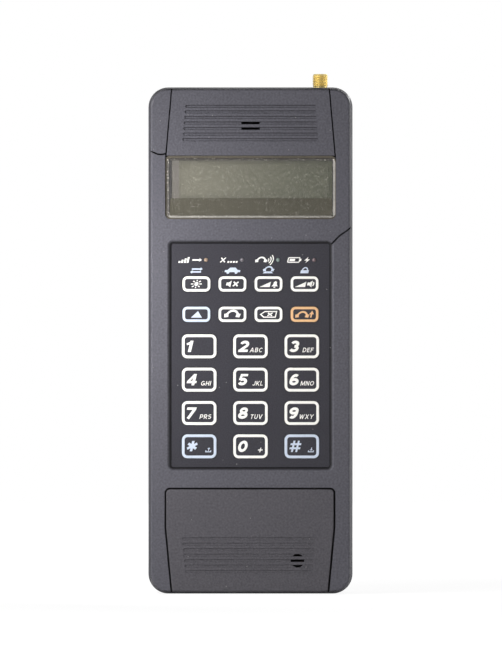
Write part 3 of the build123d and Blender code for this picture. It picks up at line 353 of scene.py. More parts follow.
# %% [markdown]
# ## Keypad overlay and keys
# The overlay is a darker sheet with a very fine matt grain, and the keys come through it flush. The same
# function makes both; fingers have polished the keys, so they are a little less rough and less dusty.

# %% Overlay and key plastics
OVERLAY_COLOUR = linear(57, 56, 62)
KEY_COLOUR = linear(58, 57, 63)
BLACK_COLOUR = linear(38, 38, 40)
FINE_GRAIN = 0.4

overlay = moulded_plastic("overlay_plastic", OVERLAY_COLOUR, FINE_GRAIN, grain_depth=0.02,
                          roughness=0.46, patches=0.12, dust=0.03)
key_plastic = moulded_plastic("key_plastic", KEY_COLOUR, FINE_GRAIN, grain_depth=0.012,
                              roughness=0.42, patches=0.12, dust=0.01)
black_plastic = moulded_plastic("black_plastic", BLACK_COLOUR, 0.3, grain_depth=0.01,
                                roughness=0.45, patches=0.1, dust=0.0)
print("keypad plastics:", overlay.name, key_plastic.name, black_plastic.name)

# %% [markdown]
# ## The display window
# The window is clear acrylic. Real glass in a renderer bends light and blocks lamps, which would leave the
# display behind it black, so rays on their way to a lamp pass straight through a plain tint instead. Its
# bevelled edge is scuffed matt. Light that runs inside the sheet and leaves at its edges is painted on: the
# right edge has a painted glow and the lower one a painted pale highlight. Fine pale dust lies on the whole
# of it.

# %% Window
WINDOW_TINT = (0.93, 0.92, 0.86, 1.0)
ACRYLIC_BEND = 1.49
LENS_BEVEL, BEVEL_COVER, BEVEL_OUTSIDE, BEVEL_INSIDE = 0.8, 0.8, 0.15, 0.1
CHIP_SIZE, CHIP_SHADE = 0.7, 0.9
WORN_SIZE, WORN_SHADE = 3.5, 0.8
LOWER_PAINTED_HIGHLIGHT = 0.42
DULL_EDGE, PALE_DUST_AND_HIGHLIGHT = linear(104, 101, 98), linear(245, 240, 230)
NO_GLOW, PAINTED_EDGE_GLOW = (0.0, 0.0, 0.0, 1.0), (0.26, 0.25, 0.24, 1.0)
DUST_SIZE, DUST_START, DUST_GAIN, DUST_COVER = 0.6, 0.58, 8.0, 0.18


def acrylic_sheet(finish, shadow_ray):
    """Acrylic for sight, with haze and hairline scratches, and a plain tint for rays that look for a lamp."""
    haze = finish.noise(9.0, detail=5.0)
    scratches = finish.noise(0.5, detail=2.0, stretch=(1.0, 1.0, 0.06))
    glass = finish.node("BsdfPrincipled", inputs={
        "Base Color": WINDOW_TINT, "Transmission Weight": 1.0, "IOR": ACRYLIC_BEND,
        "Roughness": (haze - 0.4).clamped() * 0.1 + 0.02,
        "Normal": finish.bump(scratches, 0.0006)})
    straight = finish.node("BsdfTransparent", inputs={"Color": WINDOW_TINT})
    return finish.node("MixShader", inputs={0: shadow_ray, 1: glass, 2: straight})


def clear_window():
    """An acrylic sheet with a scuffed bevel, dust, a painted glow on its right edge and painted highlights on its
    right and lower edges.

    The bevel is where the larger of |x - across| - half width and |z - up| - half height is above minus
    its width. Dust is where a fine noise passes DUST_START, and it covers up to DUST_COVER of the sheet."""
    finish = Finish("window_acrylic")
    shadow_ray = finish.node("LightPath", output="Is Shadow Ray")
    x, _, z = finish.axes()
    across, up = (LENS_LEFT + LENS_RIGHT) / 2, (LENS_LOW + LENS_HIGH) / 2
    edge = ((x - across).size() - (LENS_RIGHT - across)).maximum((z - up).size() - (LENS_HIGH - up))
    bevel = finish.between(edge, -LENS_BEVEL - BEVEL_OUTSIDE, -LENS_BEVEL + BEVEL_INSIDE)
    right, lower = x > LENS_RIGHT - LENS_BEVEL, z < LENS_LOW + LENS_BEVEL
    chips = finish.noise(CHIP_SIZE, detail=4.0)
    worn = finish.noise(WORN_SIZE, detail=3.0)
    mottle = (chips - 0.5) * CHIP_SHADE + (worn - 0.5) * WORN_SHADE + 1.0
    dust = ((finish.noise(DUST_SIZE, detail=2.0) - DUST_START) * DUST_GAIN).clamped()
    # Painted highlight on the right and lower edges, mixed with the pale of real dust; the right edge also gets a
    # painted glow.
    dust_and_painted_highlight = right.maximum(lower * LOWER_PAINTED_HIGHLIGHT).maximum(dust)
    scuffed_and_painted_edge = finish.node("BsdfPrincipled", inputs={
        "Base Color": finish.tint(finish.mix(dust_and_painted_highlight, DULL_EDGE, PALE_DUST_AND_HIGHLIGHT), mottle), "Roughness": 0.35,
        "Emission Color": finish.tint(finish.mix(right, NO_GLOW, PAINTED_EDGE_GLOW), mottle),
        "Emission Strength": 1.0, "Normal": finish.bump(chips, 0.02)})
    cover = (bevel * BEVEL_COVER).maximum(dust * DUST_COVER) * (1.0 - shadow_ray)
    sheet = acrylic_sheet(finish, shadow_ray)
    return finish.finish_with(finish.node("MixShader", inputs={0: cover, 1: sheet, 2: scuffed_and_painted_edge}))


window_acrylic = clear_window()
print("window:", window_acrylic.name)

# %% [markdown]
# ## The display sheet
# The display is a grey-green sheet of liquid crystal, with painted light that makes it a little lighter at
# the left. Its unlit cells show as a lattice that is barely there: two waves, across and up, multiplied.
# The light guide behind it is milky plastic, which the casing's function makes as well.

# %% Display sheet and light guide
DISPLAY_PAINTED_LIT = linear(108, 107, 102)
DISPLAY_PAINTED_SHADED = linear(70, 72, 63)
GUIDE_COLOUR = linear(205, 208, 190)
DISPLAY_LEFT, DISPLAY_RIGHT = (corner.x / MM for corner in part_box("display_glass"))
CELL_PITCH = 0.55


def liquid_crystal():
    """Grey-green sheet with painted light, lighter at the left, and the faint lattice of its unlit cells.

    Brightness is 1 plus small shares of sin(2 pi x / pitch) sin(2 pi z / pitch), a cloud and a grain."""
    finish = Finish("liquid_crystal")
    x, _, z = finish.axes()
    # Painted light: the colour goes from lit at the left to shaded at the right.
    across = finish.between(x, DISPLAY_LEFT, DISPLAY_RIGHT)
    painted_light_colour = finish.mix(across, DISPLAY_PAINTED_LIT, DISPLAY_PAINTED_SHADED)
    lattice = (x * (2 * pi / CELL_PITCH)).wave() * (z * (2 * pi / CELL_PITCH)).wave()
    cloud = finish.noise(6.0, detail=3.0)
    grain = finish.noise(0.3, detail=1.0)
    brightness = 1.0 + lattice * 0.012 + (cloud - 0.5) * 0.08 + (grain - 0.5) * 0.12
    return finish.shade(Base_Color=finish.tint(painted_light_colour, brightness), Roughness=0.42 + (cloud - 0.5) * 0.1,
                        Specular_IOR_Level=0.3)


display_sheet = liquid_crystal()
light_guide = moulded_plastic("light_guide_plastic", GUIDE_COLOUR, 0.3, grain_depth=0.01,
                              roughness=0.35, patches=0.05, dust=0.0)
print("display:", display_sheet.name, light_guide.name)

# %% [markdown]
# ## Metals
# Metal shows its surroundings, so what makes it look real is how its polish varies: turning marks round
# the gold stud, brushing on tinned sheet, a dull oxide on the screws. All of them are one function with
# a noise that is stretched along the tool's path.

# %% Metals
def metal(name, colour, roughness=0.3, stretch=(1.0, 1.0, 1.0), mark_size=0.3, mark_depth=0.006,
          tarnish=0.25):
    """Metal whose marks run along the axes whose stretch is smallest.

    Brightness is 1 less the tarnish in the stains, plus a tenth of (marks - 1/2)."""
    finish = Finish(name)
    marks = finish.noise(mark_size, detail=3.0, stretch=stretch)
    stain = finish.noise(4.0, detail=5.0)
    shade = finish.tint(colour, 1.0 - (stain - 0.35).clamped() * tarnish + (marks - 0.5) * 0.1)
    return finish.shade(Base_Color=shade, Metallic=1.0,
                        Roughness=roughness + (stain - 0.5) * 0.3 + (marks - 0.5) * 0.15,
                        Normal=finish.bump(marks, mark_depth))


gold = metal("gold_plate", linear(250, 230, 160), roughness=0.58, stretch=(0.4, 0.4, 6.0))
tinned_steel = metal("tinned_steel", linear(196, 196, 192), roughness=0.34, stretch=(1.0, 1.0, 0.1))
screw_steel = metal("screw_steel", linear(120, 120, 124), roughness=0.4, tarnish=0.5)
spring_steel = metal("spring_steel", linear(190, 190, 194), roughness=0.28)
print("metals:", gold.name, tinned_steel.name, screw_steel.name, spring_steel.name)

# %% [markdown]
# ## Speaker and microphone
# Both are drawn metal cans whose front is closed by dark felt, which keeps dust out and looks black through
# the sound slots. One material holds both: a mask by depth picks felt within a third of a millimetre of
# the can's front and metal behind it.

# %% Cans with a felt front
FELT_THICKNESS = 0.35


def felted_can(node, colour, roughness):
    """Metal behind, felt in front: the felt mask is 1 where y is less than the front plus the felt."""
    finish = Finish(node + "_can")
    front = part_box(node)[0].y / MM
    felt = finish.axes()[1] < front + FELT_THICKNESS
    hairs = finish.noise(0.25, detail=4.0)
    stain = finish.noise(4.0, detail=5.0)
    steel = finish.tint(colour, (stain - 0.5) * 0.3 + 1.0)
    cloth = finish.tint(linear(24, 24, 26), (hairs - 0.5) * 0.8 + 1.0)
    return finish.shade(Base_Color=finish.mix(felt, steel, cloth), Metallic=1.0 - felt,
                        Roughness=felt * 0.5 + roughness + (stain - 0.5) * 0.15,
                        Normal=finish.bump(hairs * felt, 0.08))


speaker_can = felted_can("earpiece_speaker", linear(130, 130, 132), roughness=0.42)
microphone_can = felted_can("microphone", linear(205, 205, 205), roughness=0.3)
print("cans:", speaker_can.name, microphone_can.name)

# %% [markdown]
# ## Rubber, boards and cells
# What sits inside shows when the phone comes apart, so it is finished too: silicone for the key mat, glass
# fibre under green varnish for the boards, with the tracks as faint raised lines, black epoxy for the
# chips and a shrunk plastic sleeve round each cell.

# %% Inner finishes
TRACK_PITCH, TRACK_EDGE = 1.27, 0.55


def rubber(name, colour, roughness=0.75):
    """Matt moulded rubber with a chalky bloom."""
    finish = Finish(name)
    bloom = finish.noise(5.0, detail=5.0)
    skin = finish.noise(0.35, detail=2.0)
    shade = finish.mix((bloom - 0.45).clamped() * 0.5, colour, linear(150, 150, 152))
    return finish.shade(Base_Color=shade, Roughness=roughness + (bloom - 0.5) * 0.2,
                        Normal=finish.bump(skin, 0.02), Specular_IOR_Level=0.3)


def circuit_board():
    """Green varnish over copper tracks: stripes where a wave is above TRACK_EDGE, broken up by noise."""
    finish = Finish("circuit_board")
    x, _, z = finish.axes()
    runs = finish.noise(9.0, detail=0.0)
    upright, level = ((axis * (2 * pi / TRACK_PITCH)).wave() > TRACK_EDGE for axis in (x, z))
    tracks = upright * (runs > 0.5) + level * (runs < 0.5)
    shade = finish.mix(tracks * 0.8, linear(34, 92, 58), linear(66, 128, 82))
    return finish.shade(Base_Color=shade, Roughness=0.32, Normal=finish.bump(tracks, 0.03))


def cell_sleeve():
    """Green sleeve with a pale band at each end and fine shrink wrinkles along its height."""
    finish = Finish("cell_sleeve")
    wrinkles = finish.noise(1.2, detail=3.0, stretch=(1.0, 1.0, 0.25))
    wear = finish.noise(7.0, detail=4.0)
    shade = finish.mix((wear - 0.5).clamped(), linear(52, 110, 76), linear(150, 176, 150))
    return finish.shade(Base_Color=shade, Roughness=0.3 + (wear - 0.5) * 0.2,
                        Normal=finish.bump(wrinkles, 0.05), Coat_Weight=0.2)


key_rubber = rubber("key_mat_rubber", linear(126, 126, 130))
boot_rubber = rubber("boot_rubber", linear(40, 40, 41))
board_green = circuit_board()
chip_epoxy = moulded_plastic("chip_epoxy", linear(36, 36, 38), 0.2, grain_depth=0.01,
                             roughness=0.55, patches=0.1, dust=0.0)
insulator_white = moulded_plastic("insulator_white", linear(228, 227, 220), 0.3, grain_depth=0.005,
                                  roughness=0.4, patches=0.05, dust=0.0)
sleeve_green = cell_sleeve()
print("inner finishes:", board_green.name, sleeve_green.name)

# %% [markdown]
# ## Dress the construction
# Each constructed piece already names the finish that it wants. Its one material slot takes the material
# made for that name; its shape and place are left alone. The battery pack and the lower cover are other
# mouldings than the front casing, with a little more dust or a slightly warmer grey.

# %% Give every constructed piece its finish
FINISHES = {
    "casing": casing, "latch": latch_plastic, "keypad": overlay, "keys": key_plastic,
    "lens": window_acrylic, "display": display_sheet, "light_guide": light_guide,
    "black_plastic": black_plastic, "lamps": light_guide, "rubber_mat": key_rubber,
    "rubber_boot": boot_rubber, "board": board_green, "chips": chip_epoxy,
    "tinned_steel": tinned_steel, "screw_steel": screw_steel, "spring_steel": spring_steel,
    "speaker": speaker_can, "microphone": microphone_can, "gold": gold, "insulator": insulator_white,
    "cells": sleeve_green,
}
for subpart in frame["record"]["subparts"]:
    for material_slot in nodes[subpart["node"]].material_slots:
        material_slot.material = FINISHES[subpart["material_slot"]]
OTHER_CASINGS = {"battery_case": pack_casing, "battery_cover": pack_casing, "lower_cover": cover_plastic}
for name, finish in OTHER_CASINGS.items():
    nodes[name].material_slots[0].material = finish

# %% [markdown]
# ## Surfaces from arrays
# Every new piece below is a grid of points worked out with numpy: rows along one parameter, columns along
# the other, joined by quads. Whole arrays go to Blender at once, which is far quicker than adding vertices
# one at a time. Where a grid closes on itself its last row is joined to its first; where it runs to a
# point, the points are merged afterwards, so no seam or hole is left.


# %% Turn grids into pieces
def grid_shell(points, closed_rows=False, closed_columns=False):
    """A grid of shape (rows, columns, 3) as points and quads.

    Quad (i, j) joins points (i, j), (i + 1, j), (i + 1, j + 1) and (i, j + 1); in a closed direction the
    index after the last is the first."""
    rows, columns = points.shape[:2]
    i = np.arange(rows if closed_rows else rows - 1)[:, None]
    j = np.arange(columns if closed_columns else columns - 1)[None, :]
    next_i, next_j = (i + 1) % rows, (j + 1) % columns
    corners = [i * columns + j, next_i * columns + j, next_i * columns + next_j, i * columns + next_j]
    quads = np.stack(np.broadcast_arrays(*corners), axis=-1).reshape(-1, 4)
    return points.reshape(-1, 3), quads


def make_piece(name, shells, finish, body, smooth_angle=35.0, stands_for=()):
    """Join shells into one mesh, weld and turn its faces outwards, and let it ride on a body."""
    starts = np.cumsum([0] + [len(points) for points, _ in shells])[:-1]
    corners = np.concatenate([(faces + start).ravel() for (_, faces), start in zip(shells, starts)])
    sides = np.concatenate([np.full(len(faces), faces.shape[1]) for _, faces in shells])
    points = np.concatenate([points for points, _ in shells])
    mesh = bpy.data.meshes.new(name)
    mesh.vertices.add(len(points))
    mesh.vertices.foreach_set("co", points.ravel())
    mesh.loops.add(len(corners))
    mesh.loops.foreach_set("vertex_index", corners)
    mesh.polygons.add(len(sides))
    mesh.polygons.foreach_set("loop_start", np.cumsum(sides) - sides)
    mesh.polygons.foreach_set("loop_total", sides)
    mesh.update(calc_edges=True)
    surface = bmesh.new()
    surface.from_mesh(mesh)
    bmesh.ops.remove_doubles(surface, verts=surface.verts, dist=TINY)
    bmesh.ops.recalc_face_normals(surface, faces=surface.faces)
    surface.to_mesh(mesh)
    surface.free()
    mesh.polygons.foreach_set("use_smooth", np.ones(len(mesh.polygons), dtype=bool))
    mesh.set_sharp_from_angle(angle=radians(smooth_angle))
    mesh.materials.append(finish)
    piece = bpy.data.objects.new(name, mesh)
    bpy.context.scene.collection.objects.link(piece)
    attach(piece, body)
    if stands_for:
        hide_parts(*stands_for)
    return piece


print("surface tools ready")

# %% [markdown]
# ## Ink
# Legends on such keys are screen printed or moulded through: an even film with soft edges, a few hundredths
# of a millimetre proud. An image would be the usual way to show them, but a picture blurs close up, so each
# stroke is real geometry: a ribbon with a rounded section that follows a path. Its underside is sunk a
# little, so no gap shows beneath it.

# %% Strokes and filled shapes
ARC_POINTS = 15
INK_RISE = 0.05
INK_SINK = 0.03
INK_STEP = 0.004
SECTION_ACROSS = np.array([-1.0, -1.0, -0.82, 0.82, 1.0, 1.0])
SECTION_RISE = np.array([-INK_SINK, 0.5 * INK_RISE, INK_RISE, INK_RISE, 0.5 * INK_RISE, -INK_SINK])
BLOT_SCALE = np.array([0.0, 0.94, 1.0, 1.0, 0.0])
BLOT_RISE = np.array([INK_RISE, INK_RISE, 0.5 * INK_RISE, -INK_SINK, -INK_SINK])


def arc(x, z, reach_x, reach_z, start, end, points=ARC_POINTS):
    """Ellipse: the centre plus (reach_x cos a, reach_z sin a), a running from start to end in degrees."""
    angle = np.radians(np.linspace(start, end, points))
    return np.column_stack([x + reach_x * np.cos(angle), z + reach_z * np.sin(angle)])


def rounded(left, right, low, high, corner):
    """Closed rectangle with its four corners as quarter circles."""
    places = [(right, high, 0), (left, high, 90), (left, low, 180), (right, low, 270)]
    inward = [(-1, -1), (1, -1), (1, 1), (-1, 1)]
    quarters = [arc(x + sx * corner, z + sz * corner, corner, corner, turn, turn + 90, 7)
                for (x, z, turn), (sx, sz) in zip(places, inward)]
    return np.vstack(quarters)


def ribbon(path, width, closed=False):
    """A stroke along a path, as points (x, rise, z).

    Each point of the section moves sideways by half the width times the mitre
    (before + after) / (1 + before . after), of the sideways directions of the runs that meet there."""
    runs = np.roll(path, -1, axis=0) - path if closed else np.diff(path, axis=0)
    sideways = np.column_stack([-runs[:, 1], runs[:, 0]])
    sideways /= np.linalg.norm(sideways, axis=1, keepdims=True)
    if closed:
        before, after = np.roll(sideways, 1, axis=0), sideways
    else:
        before = np.vstack([sideways[:1], sideways])
        after = np.vstack([sideways, sideways[-1:]])
    mitre = (before + after) / (1 + (before * after).sum(axis=1, keepdims=True))
    flat = path[:, None, :] + mitre[:, None, :] * (SECTION_ACROSS * width / 2)[None, :, None]
    rise = np.broadcast_to(SECTION_RISE, flat.shape[:2])
    grid = np.stack([flat[..., 0], rise, flat[..., 1]], axis=-1)
    if not closed:
        tips = [np.broadcast_to(grid[end].mean(axis=0), (1, *grid.shape[1:])) for end in (0, -1)]
        grid = np.concatenate([tips[0], grid, tips[1]])
    return grid_shell(grid, closed_rows=closed, closed_columns=True)


def blot(outline):
    """A filled outline: rings drawn from its middle to its edge, over it and back below."""
    middle = outline.mean(axis=0)
    flat = middle + (outline - middle) * BLOT_SCALE[:, None, None]
    rise = np.broadcast_to(BLOT_RISE[:, None], flat.shape[:2])
    return grid_shell(np.stack([flat[..., 0], rise, flat[..., 1]], axis=-1), closed_columns=True)


def bar(*corners, width):
    """A straight or bent stroke through its corners."""
    return ribbon(np.array(corners, dtype=float), width)


def bow(*ellipse, width):
    """A stroke along part of an ellipse."""
    return ribbon(arc(*ellipse), width)


def hoop(x, z, reach_x, reach_z, width):
    """A stroke right round an ellipse."""
    return ribbon(arc(x, z, reach_x, reach_z, 0, 360, 2 * ARC_POINTS)[:-1], width, closed=True)


def patch(*corners):
    """A filled shape with straight sides."""
    return blot(np.array(corners, dtype=float))


print("ink tools ready")

# %% [markdown]
# ## Ink's colour
# White ink on old keys is never pure white: it has yellowed slightly and thinned where fingers rub. Light
# blue marks the second function and orange the key that starts a call.

# %% Ink finishes


def ink(name, colour):
    """Printed film: faint mottling where it has thinned, and a soft sheen."""
    finish = Finish(name)
    thin = finish.noise(1.4, detail=4.0)
    grain = finish.noise(0.2, detail=1.0)
    shade = finish.tint(colour, 1.0 - (thin - 0.55).clamped() * 0.5 + (grain - 0.5) * 0.06)
    return finish.shade(Base_Color=shade, Roughness=0.4 + (thin - 0.5) * 0.2,
                        Normal=finish.bump(grain, 0.006))


white_ink = ink("white_ink", linear(250, 248, 242))
blue_ink = ink("blue_ink", linear(204, 214, 230))
orange_ink = ink("orange_ink", linear(232, 186, 138))
print("inks:", white_ink.name, blue_ink.name, orange_ink.name)

# %% [markdown]
# ## Digits
# The digits are drawn on a unit square: 1 is their height, and a lean is added when they are printed. A
# font would give another shape, so each is a few arcs and bars, most of them of one heavy width.

# %% Draw the digits
HEAVY = 0.245
STAR_X, STAR_Z, STAR_REACH = 0.46, 0.52, 0.46


def spoke(x, z, turn, inner, outer, width):
    """A straight stroke seen from a middle at an angle, from its inner (x, z) reach to its outer one."""
    ends = [(x + reach_x * cos(turn), z + reach_z * sin(turn)) for reach_x, reach_z in (inner, outer)]
    return bar(*ends, width=width)


DIGITS = {
    "0": [hoop(0.42, 0.5, 0.29, 0.38, width=HEAVY)],
    "1": [bar((0.46, 0.0), (0.46, 1.0), width=0.27), bar((0.46, 0.84), (0.08, 0.68), width=0.19)],
    "2": [ribbon(np.vstack([arc(0.42, 0.67, 0.28, 0.21, 168, -40), [(0.18, 0.16)]]), HEAVY),
          bar((0.0, 0.11), (0.83, 0.11), width=0.22)],
    "3": [bow(0.4, 0.69, 0.26, 0.19, 160, -90, width=HEAVY),
          bow(0.4, 0.31, 0.29, 0.2, 90, -160, width=HEAVY)],
    "4": [bar((0.58, 0.0), (0.58, 1.0), width=HEAVY), bar((0.53, 0.92), (0.1, 0.34), width=0.19),
          bar((0.0, 0.29), (0.84, 0.29), width=0.2)],
    "5": [bar((0.78, 0.9), (0.23, 0.9), (0.17, 0.46), width=0.21),
          bow(0.42, 0.33, 0.28, 0.21, 138, -158, width=HEAVY)],
    "6": [hoop(0.43, 0.32, 0.28, 0.2, width=HEAVY),
          ribbon(np.vstack([arc(0.46, 0.45, 0.31, 0.43, 56, 180), [(0.15, 0.32)]]), HEAVY)],
    "7": [bar((0.02, 0.89), (0.84, 0.89), width=0.22), bar((0.72, 0.86), (0.3, 0.0), width=0.26)],
    "8": [hoop(0.42, 0.71, 0.24, 0.18, width=0.22), hoop(0.42, 0.3, 0.29, 0.19, width=HEAVY)],
    "9": [hoop(0.41, 0.68, 0.28, 0.2, width=HEAVY),
          ribbon(np.vstack([arc(0.38, 0.55, 0.31, 0.43, 236, 360), [(0.69, 0.68)]]), HEAVY)],
    "star": [spoke(STAR_X, STAR_Z, turn, (-STAR_REACH, -STAR_REACH), (STAR_REACH, STAR_REACH), 0.22)
             for turn in (pi / 2, pi / 6, -pi / 6)],
    "hash": [bar((x, 0.0), (x, 1.0), width=0.17) for x in (0.28, 0.66)]
    + [bar((0.0, z), (0.94, z), width=0.17) for z in (0.33, 0.69)],
}
print("digits drawn:", len(DIGITS))

# %% [markdown]
# ## Dial letters
# The letters beside the digits are the usual ones of a dial, much smaller and of one fine width. They are
# strokes on the same unit square: most have an upright at the left, and four helpers draw the strokes that
# recur. A word is its letters side by side.

# %% Draw the dial letters
FINE = 0.16
UPRIGHT = 0.09
FOOT, MIDDLE, HEAD = 0.085, 0.51, 0.915
LETTER_SPACE = 0.2


def upright(x=UPRIGHT):
    """A letter's full-height stroke."""
    return bar((x, 0.0), (x, 1.0), width=FINE)


def level(z, reach):
    """A letter's level stroke, from its upright to its reach."""
    return bar((UPRIGHT, z), (reach, z), width=FINE)


def belly(low, high, reach):
    """A stroke that leaves the upright, rounds a bow of half the height between low and high, and returns."""
    drop = (high - low) / 2
    bend = arc(reach - drop, (low + high) / 2, drop, drop, 90, -90)
    return ribbon(np.vstack([[(UPRIGHT, high)], bend, [(UPRIGHT, low)]]), FINE)


def slope(start, end):
    """A letter's straight stroke from one point to another."""
    return bar(start, end, width=FINE)


ALPHABET = {
    "A": [slope((0.0, 0.0), (0.4, 1.0)), slope((0.78, 0.0), (0.4, 1.0)), slope((0.16, 0.3), (0.64, 0.3))],
    "B": [upright(), belly(0.5, HEAD, 0.58), belly(FOOT, 0.5, 0.62)],
    "C": [bow(0.42, 0.5, 0.35, 0.42, 48, 312, width=FINE)],
    "D": [upright(), belly(FOOT, HEAD, 0.7)],
    "E": [upright(), level(FOOT, 0.6), level(MIDDLE, 0.56), level(HEAD, 0.6)],
    "F": [upright(), level(MIDDLE, 0.54), level(HEAD, 0.6)],
    "G": [bow(0.42, 0.5, 0.35, 0.42, 48, 330, width=FINE),
          bar((0.42, 0.42), (0.78, 0.42), (0.78, 0.1), width=FINE)],
    "H": [upright(), upright(0.65), level(0.5, 0.65)],
    "I": [upright()],
    "J": [ribbon(np.vstack([[(0.5, 1.0)], arc(0.28, 0.3, 0.22, 0.22, 0, -165)]), FINE)],
    "K": [upright(), slope((0.66, 1.0), (0.12, 0.38)), slope((0.26, 0.56), (0.68, 0.0))],
    "L": [upright(), level(FOOT, 0.58)],
    "M": [upright(), slope((0.12, 0.98), (0.48, 0.1)), slope((0.84, 0.98), (0.48, 0.1)), upright(0.87)],
    "N": [upright(), slope((0.1, 0.96), (0.64, 0.04)), upright(0.65)],
    "O": [hoop(0.42, 0.5, 0.35, 0.42, width=FINE)],
    "P": [upright(), belly(0.4, HEAD, 0.64)],
    "R": [upright(), belly(0.42, HEAD, 0.62), slope((0.36, 0.42), (0.66, 0.0))],
    "S": [bow(0.36, 0.71, 0.26, 0.21, 30, 270, width=FINE),
          bow(0.36, 0.29, 0.28, 0.21, 90, -150, width=FINE)],
    "T": [slope((0.0, HEAD), (0.7, HEAD)), upright(0.35)],
    "U": [ribbon(np.vstack([[(UPRIGHT, 1.0)], arc(0.37, 0.36, 0.28, 0.28, 180, 360), [(0.65, 1.0)]]), FINE)],
    "V": [slope((0.02, 1.0), (0.33, 0.0)), slope((0.66, 1.0), (0.35, 0.0))],
    "W": [slope((0.02, 1.0), (0.25, 0.0)), slope((0.49, 0.94), (0.27, 0.0)), slope((0.49, 0.94), (0.71, 0.0)),
          slope((0.96, 1.0), (0.73, 0.0))],
    "X": [slope((0.0, 0.0), (0.68, 1.0)), slope((0.0, 1.0), (0.68, 0.0))],
    "Y": [slope((0.0, 1.0), (0.35, 0.44)), slope((0.7, 1.0), (0.35, 0.44)), slope((0.35, 0.5), (0.35, 0.0))],
}


def word(letters):
    """Letters side by side: each is slid to where the one before it ends, plus a space."""
    shells, start = [], 0.0
    for letter in letters:
        across = np.concatenate([points[:, 0] for points, _ in ALPHABET[letter]])
        slide = np.array([start - across.min(), 0.0, 0.0])
        shells += [(points + slide, quads) for points, quads in ALPHABET[letter]]
        start += np.ptp(across) + LETTER_SPACE
    return shells


print("letters drawn:", len(ALPHABET))

# %% [markdown]
# ## Pictures
# The phone's functions are shown as small pictures, drawn like the digits: a lamp for the light, a crossed
# loudspeaker for silence, a handset laid down to end a call. What comes back in several of them, such as
# the handset or an arrow, is a function of its place.

# %% Draw what recurs in the pictures
THIN, THICK = 0.2, 0.22


def handset(x, z, size):
    """A telephone handset lying down: a bowed grip between two blocks that face down."""
    return [bow(x, z - 0.45 * size, 0.85 * size, 0.9 * size, 22, 158, width=0.3 * size),
            *(patch((x + side * 0.5 * size, z - 0.44 * size), (x + side * 1.08 * size, z - 0.52 * size),
                    (x + side * 1.18 * size, z - 0.02 * size), (x + side * 0.6 * size, z + 0.12 * size))
              for side in (-1, 1))]


def stairs(x, heights):
    """Signal bars side by side."""
    return [bar((x + 0.48 * i, 0.0), (x + 0.48 * i, height), width=0.33) for i, height in enumerate(heights)]


def waves(x, z, sizes):
    """Arcs that spread to the right from a point."""
    return [bow(x, z, size, size, -48, 48, width=0.17) for size in sizes]


def cross(x, reach):
    """Two strokes crossed at half height."""
    return [bar((x - reach, 0.5 - side * reach), (x + reach, 0.5 + side * reach), width=THIN)
            for side in (-1, 1)]


def arrow(x, z, reach):
    """An arrow along x whose tip is at x + reach; a negative reach points it to the left."""
    head = 0.42 if reach > 0 else -0.42
    return [bar((x, z), (x + reach - head, z), width=0.24),
            patch((x + reach - head, z - 0.3), (x + reach, z), (x + reach - head, z + 0.3))]


def speaker(x):
    """A loudspeaker seen from its side."""
    return [patch((x, 0.28), (x + 0.3, 0.28), (x + 0.7, 0.0), (x + 0.7, 1.0), (x + 0.3, 0.72), (x, 0.72))]


def ramp(x):
    """A wedge that rises to the right."""
    return [patch((x, 0.04), (x + 1.55, 0.04), (x + 1.55, 0.84))]


def tray(x, tip, tail):
    """An open tray with an arrow above it that runs from its tail to its tip."""
    head = 0.3 if tip > tail else -0.3
    return [bar((x, 0.42), (x, 0.1), (x + 1.1, 0.1), (x + 1.1, 0.42), width=THIN),
            bar((x + 0.55, tail), (x + 0.55, tip - head), width=THIN),
            patch((x + 0.2, tip - head), (x + 0.55, tip), (x + 0.9, tip - head))]


print("picture tools ready")

